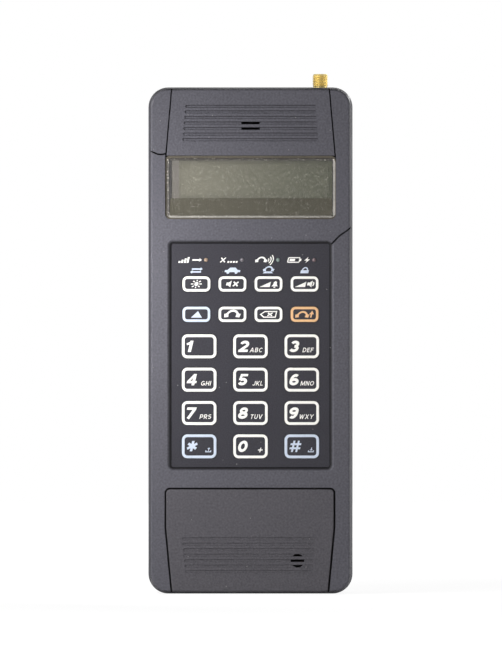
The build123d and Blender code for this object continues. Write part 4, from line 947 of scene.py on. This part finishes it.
# %% Draw the pictures
PICTURES = {
    "roaming": stairs(0.2, (0.32, 0.54, 0.77, 1.0)) + arrow(2.35, 0.5, 1.65),
    "no_signal": cross(0.45, 0.4) + stairs(1.45, (0.32, 0.32, 0.32, 0.32)),
    "in_call": handset(1.05, 0.55, 0.9) + waves(2.0, 0.5, (0.36, 0.74, 1.12)),
    "charging": [ribbon(rounded(0.0, 2.0, 0.1, 0.9, 0.14), 0.18, closed=True),
                 bar((2.2, 0.3), (2.2, 0.7), width=THICK), bar((0.26, 0.5), (1.2, 0.5), width=0.42),
                 patch((2.85, 0.4), (3.42, 1.02), (3.3, 0.6), (3.78, 0.6), (3.16, -0.04), (3.3, 0.4))],
    "swap": arrow(0.3, 0.74, 1.9) + arrow(2.0, 0.24, -1.9),
    "car": [patch((0.0, 0.2), (0.0, 0.54), (0.5, 0.62), (0.8, 1.0), (1.75, 1.0), (2.15, 0.62), (2.7, 0.54),
                  (2.7, 0.2)), *(hoop(x, 0.17, 0.15, 0.15, width=THICK) for x in (0.62, 2.05))],
    "cradle": handset(1.2, 0.76, 0.84) + [patch((0.3, 0.0), (2.1, 0.0), (1.75, 0.34), (0.65, 0.34))],
    "padlock": [patch((0.0, 0.0), (1.4, 0.0), (1.4, 0.54), (0.0, 0.54)),
                bow(0.7, 0.5, 0.44, 0.48, 0, 180, width=THIN)],
    "light": [blot(arc(1.0, 0.5, 0.3, 0.3, 0, 345)), *(spoke(1.0, 0.5, turn, (0.44, 0.42), (0.82, 0.62), 0.16)
                                                       for turn in np.arange(0, 2 * pi, pi / 4))],
    "silence": speaker(0.0) + [bar((1.05, 0.18), (1.75, 0.82), width=THICK),
                               bar((1.05, 0.82), (1.75, 0.18), width=THICK)],
    "ringer": ramp(0.0) + [patch((1.78, 0.14), (2.72, 0.14), (2.54, 0.4), (2.47, 0.78), (2.25, 0.95),
                                 (2.03, 0.78), (1.96, 0.4)), bar((2.12, 0.02), (2.38, 0.02), width=0.14)],
    "volume": ramp(0.0) + speaker(1.78) + waves(2.35, 0.5, (0.38,)),
    "up": [patch((0.0, 0.0), (1.68, 0.0), (0.84, 0.98))],
    "lay_down": handset(1.15, 0.58, 1.05),
    "erase": [ribbon(np.array([(0.0, 0.5), (0.55, 0.92), (2.3, 0.92), (2.3, 0.08), (0.55, 0.08)]), 0.17,
                     closed=True),
              bar((1.05, 0.28), (1.75, 0.72), width=0.18), bar((1.05, 0.72), (1.75, 0.28), width=0.18)],
    "send": handset(1.0, 0.46, 0.9) + [bar((2.35, 0.02), (2.35, 0.6), width=THICK),
                                       patch((1.98, 0.5), (2.35, 1.04), (2.72, 0.5))],
    "take_out": tray(0.0, 1.05, 0.32),
    "put_in": tray(0.0, 0.3, 1.05),
    "plus": [bar((0.0, 0.5), (1.0, 0.5), width=0.24), bar((0.5, 0.0), (0.5, 1.0), width=0.24)],
}
print("pictures drawn:", len(PICTURES))

# %% [markdown]
# ## Print on a key or panel
# A mark is drawn once and printed anywhere: scaled to its height, leaned like italic type, and placed by
# its left edge, middle or right edge. Strokes that cross are lifted by a hair's breadth each, because two
# faces in exactly the same plane flicker in a render.

# %% Place a mark
LEAN = 0.24


def print_mark(name, mark, x, z, surface, height, body, finish, anchor=0.5, lean=LEAN):
    """Print shells drawn on the unit square with their lower edge at z on a surface facing -Y.

    x' = x + height (mark x + lean * mark z - start) and z' = z + height * mark z, in millimetres, where
    start is the share of the mark's width that the anchor names; rise becomes a step along -Y."""
    points = np.vstack([shell for shell, _ in mark])
    slid = points[:, 0] + lean * points[:, 2]
    start = slid.min() + anchor * (slid.max() - slid.min())
    shells = []
    for order, (shell, quads) in enumerate(mark):
        across = x + height * (shell[:, 0] + lean * shell[:, 2] - start)
        out = surface - shell[:, 1] - INK_STEP * order
        shells.append((np.column_stack([across, out, z + height * shell[:, 2]]) * MM, quads))
    return make_piece(name, shells, finish, body)


print("marks ready to print")

# %% [markdown]
# ## The keys' printing
# Every key has an ink outline along its edge. The number keys carry their digit at the left and the usual
# dial letters at the right; the small keys carry one picture each. All of it is printed with one function
# and rides on its key, so it goes in when the key is pressed.

# %% Where a key is printed
KEY_FLANGE = 0.6
OUTLINE_INSET = 0.1
KEY_INKS = {"up": blue_ink, "star": blue_ink, "hash": blue_ink, "send": orange_ink}


def key_face(key):
    """Left, right, low and high edge of a key's visible top and its depth, in millimetres."""
    low, high = (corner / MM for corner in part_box(key))
    return low.x + KEY_FLANGE, high.x - KEY_FLANGE, low.z + KEY_FLANGE, high.z - KEY_FLANGE, low.y


def print_outline(key, width, corner, finish):
    """The ink line along a key's edge."""
    left, right, low, high, surface = key_face(key)
    step = OUTLINE_INSET + width / 2
    path = rounded(left + step, right - step, low + step, high - step, corner - step)
    print_mark("outline_" + key, [ribbon(path, width, closed=True)], (left + right) / 2, 0.0, surface, 1.0,
               key, finish, lean=0.0)


print("inks by key:", len(KEY_INKS))

# %% Print the small keys
SMALL_OUTLINE, SMALL_CORNER = 0.95, 1.9
LEGEND_HEIGHT = 2.5
SMALL_PICTURES = {"light": "light", "mute": "silence", "ringer": "ringer", "volume": "volume", "up": "up",
                  "end": "lay_down", "clear": "erase", "send": "send"}
for function, picture in SMALL_PICTURES.items():
    key = "key_" + function
    finish = KEY_INKS.get(function, white_ink)
    left, right, low, high, surface = key_face(key)
    print_outline(key, SMALL_OUTLINE, SMALL_CORNER, finish)
    print_mark("figure_" + key, PICTURES[picture], (left + right) / 2, (low + high - LEGEND_HEIGHT) / 2,
               surface, LEGEND_HEIGHT, key, finish)
print("small keys printed:", len(SMALL_PICTURES))

# %% Print the number keys
NUMBER_OUTLINE, NUMBER_CORNER = 1.02, 2.15
DIGIT_HEIGHT, DIGIT_MARGIN = 4.25, 1.9
LETTER_HEIGHT, LETTER_MARGIN, LETTER_SINK = 1.69, 2.0, 0.08
LETTERS = {"2": "ABC", "3": "DEF", "4": "GHI", "5": "JKL", "6": "MNO", "7": "PRS", "8": "TUV", "9": "WXY"}
EXTRAS = {"star": "take_out", "0": "plus", "hash": "put_in"}
for digit, mark in DIGITS.items():
    key = "key_" + digit
    finish = KEY_INKS.get(digit, white_ink)
    left, right, low, high, surface = key_face(key)
    foot = (low + high - DIGIT_HEIGHT) / 2
    print_outline(key, NUMBER_OUTLINE, NUMBER_CORNER, finish)
    print_mark("figure_" + key, mark, left + DIGIT_MARGIN, foot, surface, DIGIT_HEIGHT, key, finish,
               anchor=0.0)
    if digit in LETTERS or digit in EXTRAS:
        beside = word(LETTERS[digit]) if digit in LETTERS else PICTURES[EXTRAS[digit]]
        print_mark("letters_" + key, beside, right - LETTER_MARGIN, foot - LETTER_SINK, surface,
                   LETTER_HEIGHT, key, finish, anchor=1.0)
print("number keys printed:", len(DIGITS))

# %% [markdown]
# ## The overlay's printing
# Four small lamps sit in a row above the keys, each with a picture to its left, and the second function of
# each top key is printed above it in light blue. Each lamp is a little to the right of the key below it,
# so its place comes from that key.

# %% Print the overlay
LABEL_HEIGHT = 2.15
LABEL_TO_LAMP = 1.6
LABEL_ABOVE_KEY = 1.05
LAMP_OFFSET = 3.6
LAMP_LABELS = ["roaming", "no_signal", "in_call", "charging"]
SECOND_LABELS = {"light": "swap", "mute": "car", "ringer": "cradle", "volume": "padlock"}
lamp_low, lamp_high = (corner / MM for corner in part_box("indicator_lights"))
LAMP_ROW = (lamp_low.z + lamp_high.z) / 2
lamp_places = []
for label, (function, second) in zip(LAMP_LABELS, SECOND_LABELS.items()):
    left, right, low, high, _ = key_face("key_" + function)
    lamp_x = (left + right) / 2 + LAMP_OFFSET
    lamp_places.append(lamp_x)
    print_mark("label_" + label, PICTURES[label], lamp_x - LABEL_TO_LAMP, LAMP_ROW - LABEL_HEIGHT / 2,
               KEYPAD_Y / MM, LABEL_HEIGHT, "handset", white_ink, anchor=1.0)
    print_mark("label_" + second, PICTURES[second], (left + right) / 2, high + LABEL_ABOVE_KEY, KEYPAD_Y / MM,
               LABEL_HEIGHT, "handset", blue_ink)
print("lamps at", [round(x, 2) for x in lamp_places])

# %% [markdown]
# ## Indicator lamps
# A lamp is a resin dome on a short stem; unlit, it shows only the tint of its resin. The construction has
# all four as one plain piece, and these four take its place. Each could be a squashed sphere on a cylinder,
# but a profile turned round an axis along Y gives one closed skin.

# %% Make the lamps
LAMP_RADIUS = (lamp_high.z - lamp_low.z) / 2
DOME_RISE = 0.45
DOME_STEPS, DOME_SIDES = 7, 24
LAMP_TINTS = {"amber": (158, 136, 116), "grey": (112, 108, 113), "green": (124, 140, 134),
              "mauve": (112, 96, 100)}


def resin(name, colour):
    """Diffusing resin: faint swirls in its tint, roughness and surface, under a glossy coat."""
    finish = Finish(name)
    swirl = finish.noise(0.6, detail=3.0)
    shade = finish.tint(colour, 1.0 + (swirl - 0.5) * 0.3)
    return finish.shade(Base_Color=shade, Roughness=0.22 + (swirl - 0.5) * 0.1,
                        Normal=finish.bump(swirl, 0.01), Coat_Weight=0.3)


def lamp_shell(x, z):
    """A round stem that ends in a dome: the radius is that of the lamp along the stem, then falls as
    cos(a) while the dome rises by DOME_RISE sin(a), a from 0 to 90 degrees."""
    climb = np.radians(np.linspace(0, 90, DOME_STEPS))
    radius = LAMP_RADIUS * np.concatenate([[0.0, 1.0], np.cos(climb)])
    out = np.concatenate([[lamp_high.y, lamp_high.y], lamp_low.y - DOME_RISE * np.sin(climb)])
    turn = np.linspace(0, 2 * pi, DOME_SIDES, endpoint=False)
    grid = np.stack([x + np.outer(radius, np.cos(turn)), np.repeat(out[:, None], DOME_SIDES, axis=1),
                     z + np.outer(radius, np.sin(turn))], axis=-1)
    return grid_shell(grid * MM, closed_columns=True)


for (tint, colour), lamp_x in zip(LAMP_TINTS.items(), lamp_places):
    shell = lamp_shell(lamp_x, LAMP_ROW)
    make_piece(f"lamp_{tint}", [shell], resin(f"{tint}_resin", linear(*colour)), "handset",
               stands_for=["indicator_lights"])
print("lamps made:", len(LAMP_TINTS))

# %% [markdown]
# ## Behind the window
# The lower part of the window is masked from behind by a printed band, olive brown, where a maker would put
# a name; here it stays bare. Above it the display ends at the left in a paler strip, the backing beyond the
# last cell, and at the right in a strip of the display's own sheet. All three are thin films just inside
# the window's back. The backing casts no shadow, because the display close behind it would go dark.

# %% Window band and display ends
BAND_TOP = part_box("display_lens")[0].z / MM + 7.45
BAND_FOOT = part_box("display_lens")[0].z / MM + 0.5
BAND_CORNER = 0.8
SHADE_LEFT, SHADE_RIGHT = -30.0, 30.0
BAND_LIGHT, BAND_DARK = linear(72, 69, 60), linear(60, 57, 46)
BACKING_COLOUR = linear(109, 106, 105)
BACKING_LEFT, BACKING_RIGHT = -29.4, -26.8
MASK_LEFT = 29.4
FILM_SIDE, FILM_INSET, FILM_THICKNESS, FILM_CORNER = 1.1, 0.1, 0.06, 0.1
DOTS = 18.0
lens_low, lens_high = (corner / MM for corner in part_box("display_lens"))
_, glass_high = (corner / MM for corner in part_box("display_glass"))


def slab(left, right, low, high, front, thickness, corner):
    """A thin plate with rounded corners, facing -Y: its outline drawn to a point on its front and back."""
    outline = rounded(left, right, low, high, corner)
    centre = outline.mean(axis=0)
    flat = centre + (outline - centre) * np.array([0.0, 1.0, 1.0, 0.0])[:, None, None]
    depth = front + thickness * np.array([0.0, 0.0, 1.0, 1.0])[:, None]
    grid = np.stack([flat[..., 0], np.broadcast_to(depth, flat.shape[:2]), flat[..., 1]], axis=-1)
    return grid_shell(grid * MM, closed_columns=True)


def film(left, right, low, high, corner):
    """A slab just inside the window's back."""
    return slab(left, right, low, high, lens_high.y - FILM_INSET, FILM_THICKNESS, corner)


def band_print():
    """Olive film, lighter towards the left, with the fine dots of its screen.

    The dots are sin(DOTS x) sin(DOTS z), x and z in millimetres."""
    finish = Finish("band_print")
    x, _, z = finish.axes()
    shade = finish.mix(finish.between(x, SHADE_LEFT, SHADE_RIGHT), BAND_LIGHT, BAND_DARK)
    cloud = finish.noise(5.0, detail=4.0)
    dots = (x * DOTS).wave() * (z * DOTS).wave()
    shade = finish.tint(shade, 1.0 + (cloud - 0.5) * 0.1 + dots * 0.02)
    return finish.shade(Base_Color=shade, Roughness=0.5 + (cloud - 0.5) * 0.2)


band = film(lens_low.x + FILM_SIDE, lens_high.x - FILM_SIDE, BAND_FOOT, BAND_TOP, BAND_CORNER)
make_piece("window_band", [band], band_print(), "handset")
backing = film(BACKING_LEFT, BACKING_RIGHT, BAND_TOP, glass_high.z, FILM_CORNER)
backing_finish = moulded_plastic("display_backing", BACKING_COLOUR, 0.3, grain_depth=0.004,
                                 roughness=0.5, patches=0.1, dust=0.0)
make_piece("display_edge", [backing], backing_finish, "handset").visible_shadow = False
mask = film(MASK_LEFT, lens_high.x - FILM_SIDE, BAND_TOP, lens_high.z - FILM_SIDE, FILM_CORNER)
make_piece("display_mask", [mask], display_sheet, "handset")
print("band from", round(BAND_FOOT, 2), "to", round(BAND_TOP, 2), "mm")

# %% [markdown]
# ## The window's bead
# Round the window a bead of old brown glue closes its gap, wider at the top, where the panel above keeps
# off. It is a ring between two rounded outlines, so its section is a rectangle carried round the window.

# %% Lay the bead
LENS_CORNER = 1.9
BEAD_SINK, BEAD_SPARE = 0.45, 0.02
GLUE_COLOUR = linear(88, 83, 74)
panel_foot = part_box("earpiece_panel")[0].z / MM
inner = rounded(lens_low.x - BEAD_SPARE, lens_high.x + BEAD_SPARE, lens_low.z - BEAD_SPARE,
                lens_high.z + BEAD_SPARE, LENS_CORNER)
outer = rounded(BEAD_SPARE - RECESS_HALF, RECESS_HALF - BEAD_SPARE, LENS_LOW - LENS_GAP + BEAD_SPARE,
                panel_foot - BEAD_SPARE, LENS_CORNER)
front, back = FACE_Y / MM + BEAD_SINK, lens_high.y
section = [(outer, front), (inner, front), (inner, back), (outer, back)]
ring = np.stack([np.column_stack([line[:, 0], np.full(len(line), y), line[:, 1]]) for line, y in section])
bead_shell = grid_shell(ring * MM, closed_rows=True, closed_columns=True)
glue = moulded_plastic("old_glue", GLUE_COLOUR, 0.5, grain_depth=0.06, roughness=0.6, patches=0.5, dust=0.0)
make_piece("window_bead", [bead_shell], glue, "handset")
print("bead's top at", round(panel_foot - BEAD_SPARE, 2), "mm")

# %% [markdown]
# ## Antenna stud
# The antenna has been unscrewed and its gold-plated stud is bare. A thread is a groove that winds round, so
# the stud is a lathe profile whose radius also depends on the angle: a wave of height and angle together
# makes a helix. Turning it as one grid keeps the thread and the smooth parts a single closed skin.

# %% Turn the stud
STUD_RADIUS, NECK_RADIUS, BORE_RADIUS = 2.95, 2.6, 1.5
FLANGE_RADIUS, FLANGE_HEIGHT = 4.0, 1.5
TAIL_RADIUS, TAIL_LENGTH = 2.0, 3.0
BORE_DEPTH, BORE_BEVEL, TOP_BEVEL = 8.0, 0.15, 0.5
THREAD_PITCH, THREAD_DEPTH, THREAD_ROWS = 0.62, 0.36, 100
THREAD_START, THREAD_END, THREAD_LEAD = 0.3, 0.2, 0.35
stud_low, stud_high = (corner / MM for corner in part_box("antenna_connector"))
STUD_MIDDLE = ((stud_low.x + stud_high.x) / 2, (stud_low.y + stud_high.y) / 2)


def stud_grid(sides=72):
    """Rows of the profile (radius, height), each turned to a circle.

    Thread rows use radius - depth * (1 + cos(2 pi height / pitch - angle)) / 2, eased out at both ends."""
    seat = stud_low.z + TAIL_LENGTH
    neck_top = PHONE_TOP / MM + THREAD_START
    heights = np.linspace(neck_top, stud_high.z - THREAD_END, THREAD_ROWS)
    below = [(0.0, stud_low.z), (TAIL_RADIUS, stud_low.z), (TAIL_RADIUS, seat), (FLANGE_RADIUS, seat),
             (FLANGE_RADIUS, seat + FLANGE_HEIGHT), (NECK_RADIUS, seat + FLANGE_HEIGHT),
             (NECK_RADIUS, neck_top)]
    above = [(STUD_RADIUS - TOP_BEVEL, stud_high.z), (BORE_RADIUS + BORE_BEVEL, stud_high.z),
             (BORE_RADIUS, stud_high.z - BORE_BEVEL), (BORE_RADIUS, stud_high.z - BORE_DEPTH),
             (0.0, stud_high.z - BORE_DEPTH)]
    turn = np.linspace(0, 2 * pi, sides, endpoint=False)
    ease = np.clip(np.minimum(heights - neck_top, heights[-1] - heights) / THREAD_LEAD, 0, 1)[:, None]
    groove = (1 + np.cos(2 * pi * heights[:, None] / THREAD_PITCH - turn)) / 2
    thread = STUD_RADIUS - THREAD_DEPTH * (groove * ease + (1 - ease))
    plain = [np.broadcast_to(np.array([radius for radius, _ in part])[:, None], (len(part), sides))
             for part in (below, above)]
    radius = np.vstack([plain[0], thread, plain[1]])
    height = np.concatenate([[z for _, z in below], heights, [z for _, z in above]])
    grid = np.stack([STUD_MIDDLE[0] + radius * np.cos(turn), STUD_MIDDLE[1] + radius * np.sin(turn),
                     np.broadcast_to(height[:, None], radius.shape)], axis=-1)
    return grid_shell(grid * MM, closed_columns=True)


stud = make_piece("antenna_stud", [stud_grid()], gold, "handset", smooth_angle=50.0,
                  stands_for=["antenna_connector"])
print("stud of", len(stud.data.polygons), "faces")

# %% [markdown]
# ## Latch spring
# Behind the latch a coil spring pushes it out again. Its wire is a circle carried along a helix; the ends
# lie flat for most of a turn, as ground ends do. The spring is the one piece that changes shape; here it
# gets a mesh of its own, and the middle of its foot is worked out.

# %% Wind the spring
WIRE_RADIUS = 0.28
COILS = 5.5
END_TURN = 0.7
spring_low, spring_high = (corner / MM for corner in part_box("latch_spring"))


def spring_grid(steps_per_turn=28, sides=10):
    """Helix about the Y axis: radius R, depth y(u) = low + (high - low) * ease(u), with wire points
    R + w cos(b) outwards and y + w sin(b) along; ease is flat for END_TURN of a turn at each end."""
    coil = (spring_high.x - spring_low.x) / 2 - WIRE_RADIUS
    middle = (spring_low.x + spring_high.x) / 2, (spring_low.z + spring_high.z) / 2
    u = np.linspace(0, 1, int(COILS * steps_per_turn))
    turn = 2 * pi * COILS * u
    flat = 1 / COILS
    ease = np.clip((u - flat * END_TURN) / (1 - 2 * END_TURN * flat), 0, 1)
    along = spring_low.y + WIRE_RADIUS + (spring_high.y - spring_low.y - 2 * WIRE_RADIUS) * ease
    round_wire = np.linspace(0, 2 * pi, sides, endpoint=False)
    reach = coil + WIRE_RADIUS * np.cos(round_wire)
    depth = along[:, None] + WIRE_RADIUS * np.sin(round_wire)
    grid = np.stack([middle[0] + np.cos(turn)[:, None] * reach, depth,
                     middle[1] + np.sin(turn)[:, None] * reach], axis=-1)
    tips = [np.broadcast_to(grid[end].mean(axis=0), (1, sides, 3)) for end in (0, -1)]
    return grid_shell(np.concatenate([tips[0], grid, tips[1]]) * MM, closed_columns=True)


spring = make_piece("latch_coil", [spring_grid()], spring_steel, "handset",
                    smooth_angle=60.0, stands_for=["latch_spring"])
foot = (spring_low + spring_high) / 2 * MM
foot.y = spring_low.y * MM
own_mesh(spring)
print("spring of", len(spring.data.polygons), "faces")

# %% [markdown]
# ## Felt strips
# The battery pack sits a hair's breadth off the phone's back, and light would show through that gap from
# the side. Two thin black felt strips on the pack close it and keep the pack from rattling.

# %% Lay the felt strips
FELT_PLACE, FELT_HALF, FELT_CORNER = 20.0, 1.0, 0.4
FELT_FOOT, FELT_MARGIN = 3.0, 3.0
FELT_FRONT_GAP, FELT_LOSS = 0.02, 0.03
felt = rubber("black_felt", linear(22, 22, 23), roughness=0.95)
gap_front, gap_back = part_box("rear_shell")[1].y / MM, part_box("battery_case")[0].y / MM
felt_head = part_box("battery_case")[1].z / MM - FELT_MARGIN
strips = [slab(side * FELT_PLACE - FELT_HALF, side * FELT_PLACE + FELT_HALF, FELT_FOOT, felt_head,
               gap_front + FELT_FRONT_GAP, gap_back - gap_front - FELT_LOSS, FELT_CORNER) for side in (-1, 1)]
make_piece("felt_strips", strips, felt, "battery_pack")
print("felt strips in a gap of", round(gap_back - gap_front, 2), "mm")

# %% [markdown]
# ## Floor
# The phone stands on a pale floor before a white background. Brightening the room to get that white would
# bleach the phone, so the floor mixes its own lit surface with plain white, only for rays that come from
# the camera, and for less than half in reflections. Near the phone more of the lit surface is left, so
# that the phone's shadow still darkens it.

# %% Lay the floor
FLOOR_HALF, FLOOR_POINTS = 1.6, 9
FLOOR_NEAR, FLOOR_FAR = 0.8, 1.0
NEAR_END, FAR_START = 0.15, 0.5
PAPER_COLOUR, PAPER_GLARE = linear(235, 235, 235), 1.12
WHITE = (1.0, 1.0, 1.0, 1.0)
MIRRORED_WHITE = 0.4


def studio_floor():
    """Matt white paper; for the camera most of it is plain white, the rest shows the light that falls.

    The white share grows from FLOOR_NEAR beside the phone to FLOOR_FAR half a metre away."""
    finish = Finish("floor_paper")
    fibre = finish.noise(3.0, detail=6.0)
    paper = finish.node("BsdfDiffuse", inputs={"Color": finish.tint(PAPER_COLOUR, 0.98 + fibre * 0.04)})
    white = finish.node("Emission", inputs={"Color": WHITE, "Strength": PAPER_GLARE})
    rays = finish.node("LightPath", output="Is Camera Ray")
    seen = rays.maximum(rays.other("Is Glossy Ray") * MIRRORED_WHITE)
    away = finish.node("VectorMath", {"operation": "LENGTH"}, {0: finish.place()}, output="Value")
    share = finish.between(away, NEAR_END, FAR_START) * (FLOOR_FAR - FLOOR_NEAR) + FLOOR_NEAR
    return finish.finish_with(finish.node("MixShader", inputs={0: seen * share, 1: paper, 2: white}))


span = np.linspace(-FLOOR_HALF, FLOOR_HALF, FLOOR_POINTS)
floor_x, floor_y = np.meshgrid(span, span)
floor_points, floor_quads = grid_shell(np.stack([floor_x, floor_y, np.zeros_like(floor_x)], axis=-1))
floor_mesh = bpy.data.meshes.new("studio_floor")
floor_mesh.from_pydata(floor_points.tolist(), [], floor_quads.tolist())
floor_mesh.materials.append(studio_floor())
floor = bpy.data.objects.new("studio_floor", floor_mesh)
bpy.context.scene.collection.objects.link(floor)
print("floor", 2 * FLOOR_HALF, "m wide")

# %% [markdown]
# ## Background
# The background is white to the camera and through the window, two fifths of that in reflections, and a
# weak even fill to everything else, so the phone keeps its own darkness.

# %% Set the world
FILL_LIGHT = 0.1


def studio_world():
    """Strength is fill + (1 - fill) * seen, where seen is 1 for camera and window rays."""
    room = Finish("studio", world=True)
    rays = room.node("LightPath", output="Is Camera Ray")
    seen = rays.maximum(rays.other("Is Transmission Ray"))
    seen = seen.maximum(rays.other("Is Glossy Ray") * MIRRORED_WHITE)
    strength = seen * (1.0 - FILL_LIGHT) + FILL_LIGHT
    background = room.node("Background", inputs={"Color": WHITE, "Strength": strength})
    return room.finish_with(background, "OutputWorld")


bpy.context.scene.world = studio_world()
print("fill light", FILL_LIGHT)

# %% [markdown]
# ## Lamps
# A small soft lamp hangs close before the phone's left side, a little above its middle, so the left is
# bright and the light falls off across the face. It is kept out of reflections and of what the window
# lets through, where it would show as a white patch. A weak lamp picks out the left edge, a wide one in
# front lights the whole face, and two more keep the right side and the back readable. A lamp's numbers are
# its place, its width and height in metres and its power in watts.

# %% Set the lamps
HEART = (0.0, 0.0, 0.105)
SOFTBOXES = {
    "main_softbox": ((-0.09, -0.095, 0.122), 0.04, 0.07, 0.16),
    "left_softbox": ((-0.35, 0.02, 0.22), 0.12, 0.16, 0.23),
    "front_softbox": ((-0.7, -0.8, 0.5), 0.5, 0.5, 6.4),
    "right_softbox": ((1.0, 0.1, 0.25), 0.5, 0.5, 4.0),
    "back_softbox": ((0.25, 0.9, 0.3), 0.8, 0.8, 7.0),
}


def softbox(name, place, width, height, watts):
    """A rectangular lamp at a place, turned to face the phone's heart; the camera doesn't see it.

    A lamp shines along its own -Z, so it is tilted by the angle of (level reach, drop) of that direction
    and then turned by the direction's bearing."""
    light = bpy.data.lights.new(name, "AREA")
    light.shape = "RECTANGLE"
    light.size, light.size_y = width, height
    light.energy = watts
    lamp = bpy.data.objects.new(name, light)
    bpy.context.scene.collection.objects.link(lamp)
    lamp.location = place
    along, across, rise = np.subtract(HEART, place)
    lamp.rotation_euler = (atan2(np.hypot(along, across), -rise), 0.0, atan2(along, -across) + pi)
    lamp.visible_camera = False
    return lamp


softboxes = {name: softbox(name, *settings) for name, settings in SOFTBOXES.items()}
near_lamp = softboxes["main_softbox"]
near_lamp.visible_glossy = near_lamp.visible_transmission = False
print("lamps set:", len(softboxes))

# %% [markdown]
# ## Camera
# The view is straight on, from three metres, with the lens at half the phone's height. The focal length
# follows from similar triangles: sensor height over focal length is frame height over distance. The frame
# is 670 rows high, and a row covers three eighths of a millimetre at the phone.

# %% Place the camera
FRAME_ROWS = 670
PIXEL = 0.375 * MM
CAMERA_DISTANCE = 3.0
CAMERA_X, CAMERA_Z = 0.19 * MM, 97.3 * MM
SENSOR = 24.0

lens = bpy.data.cameras.new("front_camera")
lens.sensor_fit = "VERTICAL"
lens.sensor_height = SENSOR
lens.lens = SENSOR * CAMERA_DISTANCE / (FRAME_ROWS * PIXEL)
lens.clip_start, lens.clip_end = 0.05, 20.0
camera = bpy.data.objects.new("front_camera", lens)
camera.location = (CAMERA_X, FACE_Y - CAMERA_DISTANCE, CAMERA_Z)
camera.rotation_euler = (pi / 2, 0.0, 0.0)
bpy.context.scene.collection.objects.link(camera)
bpy.context.scene.camera = camera
bpy.context.scene.view_settings.view_transform = "Standard"
print("focal length", round(lens.lens, 1), "mm")
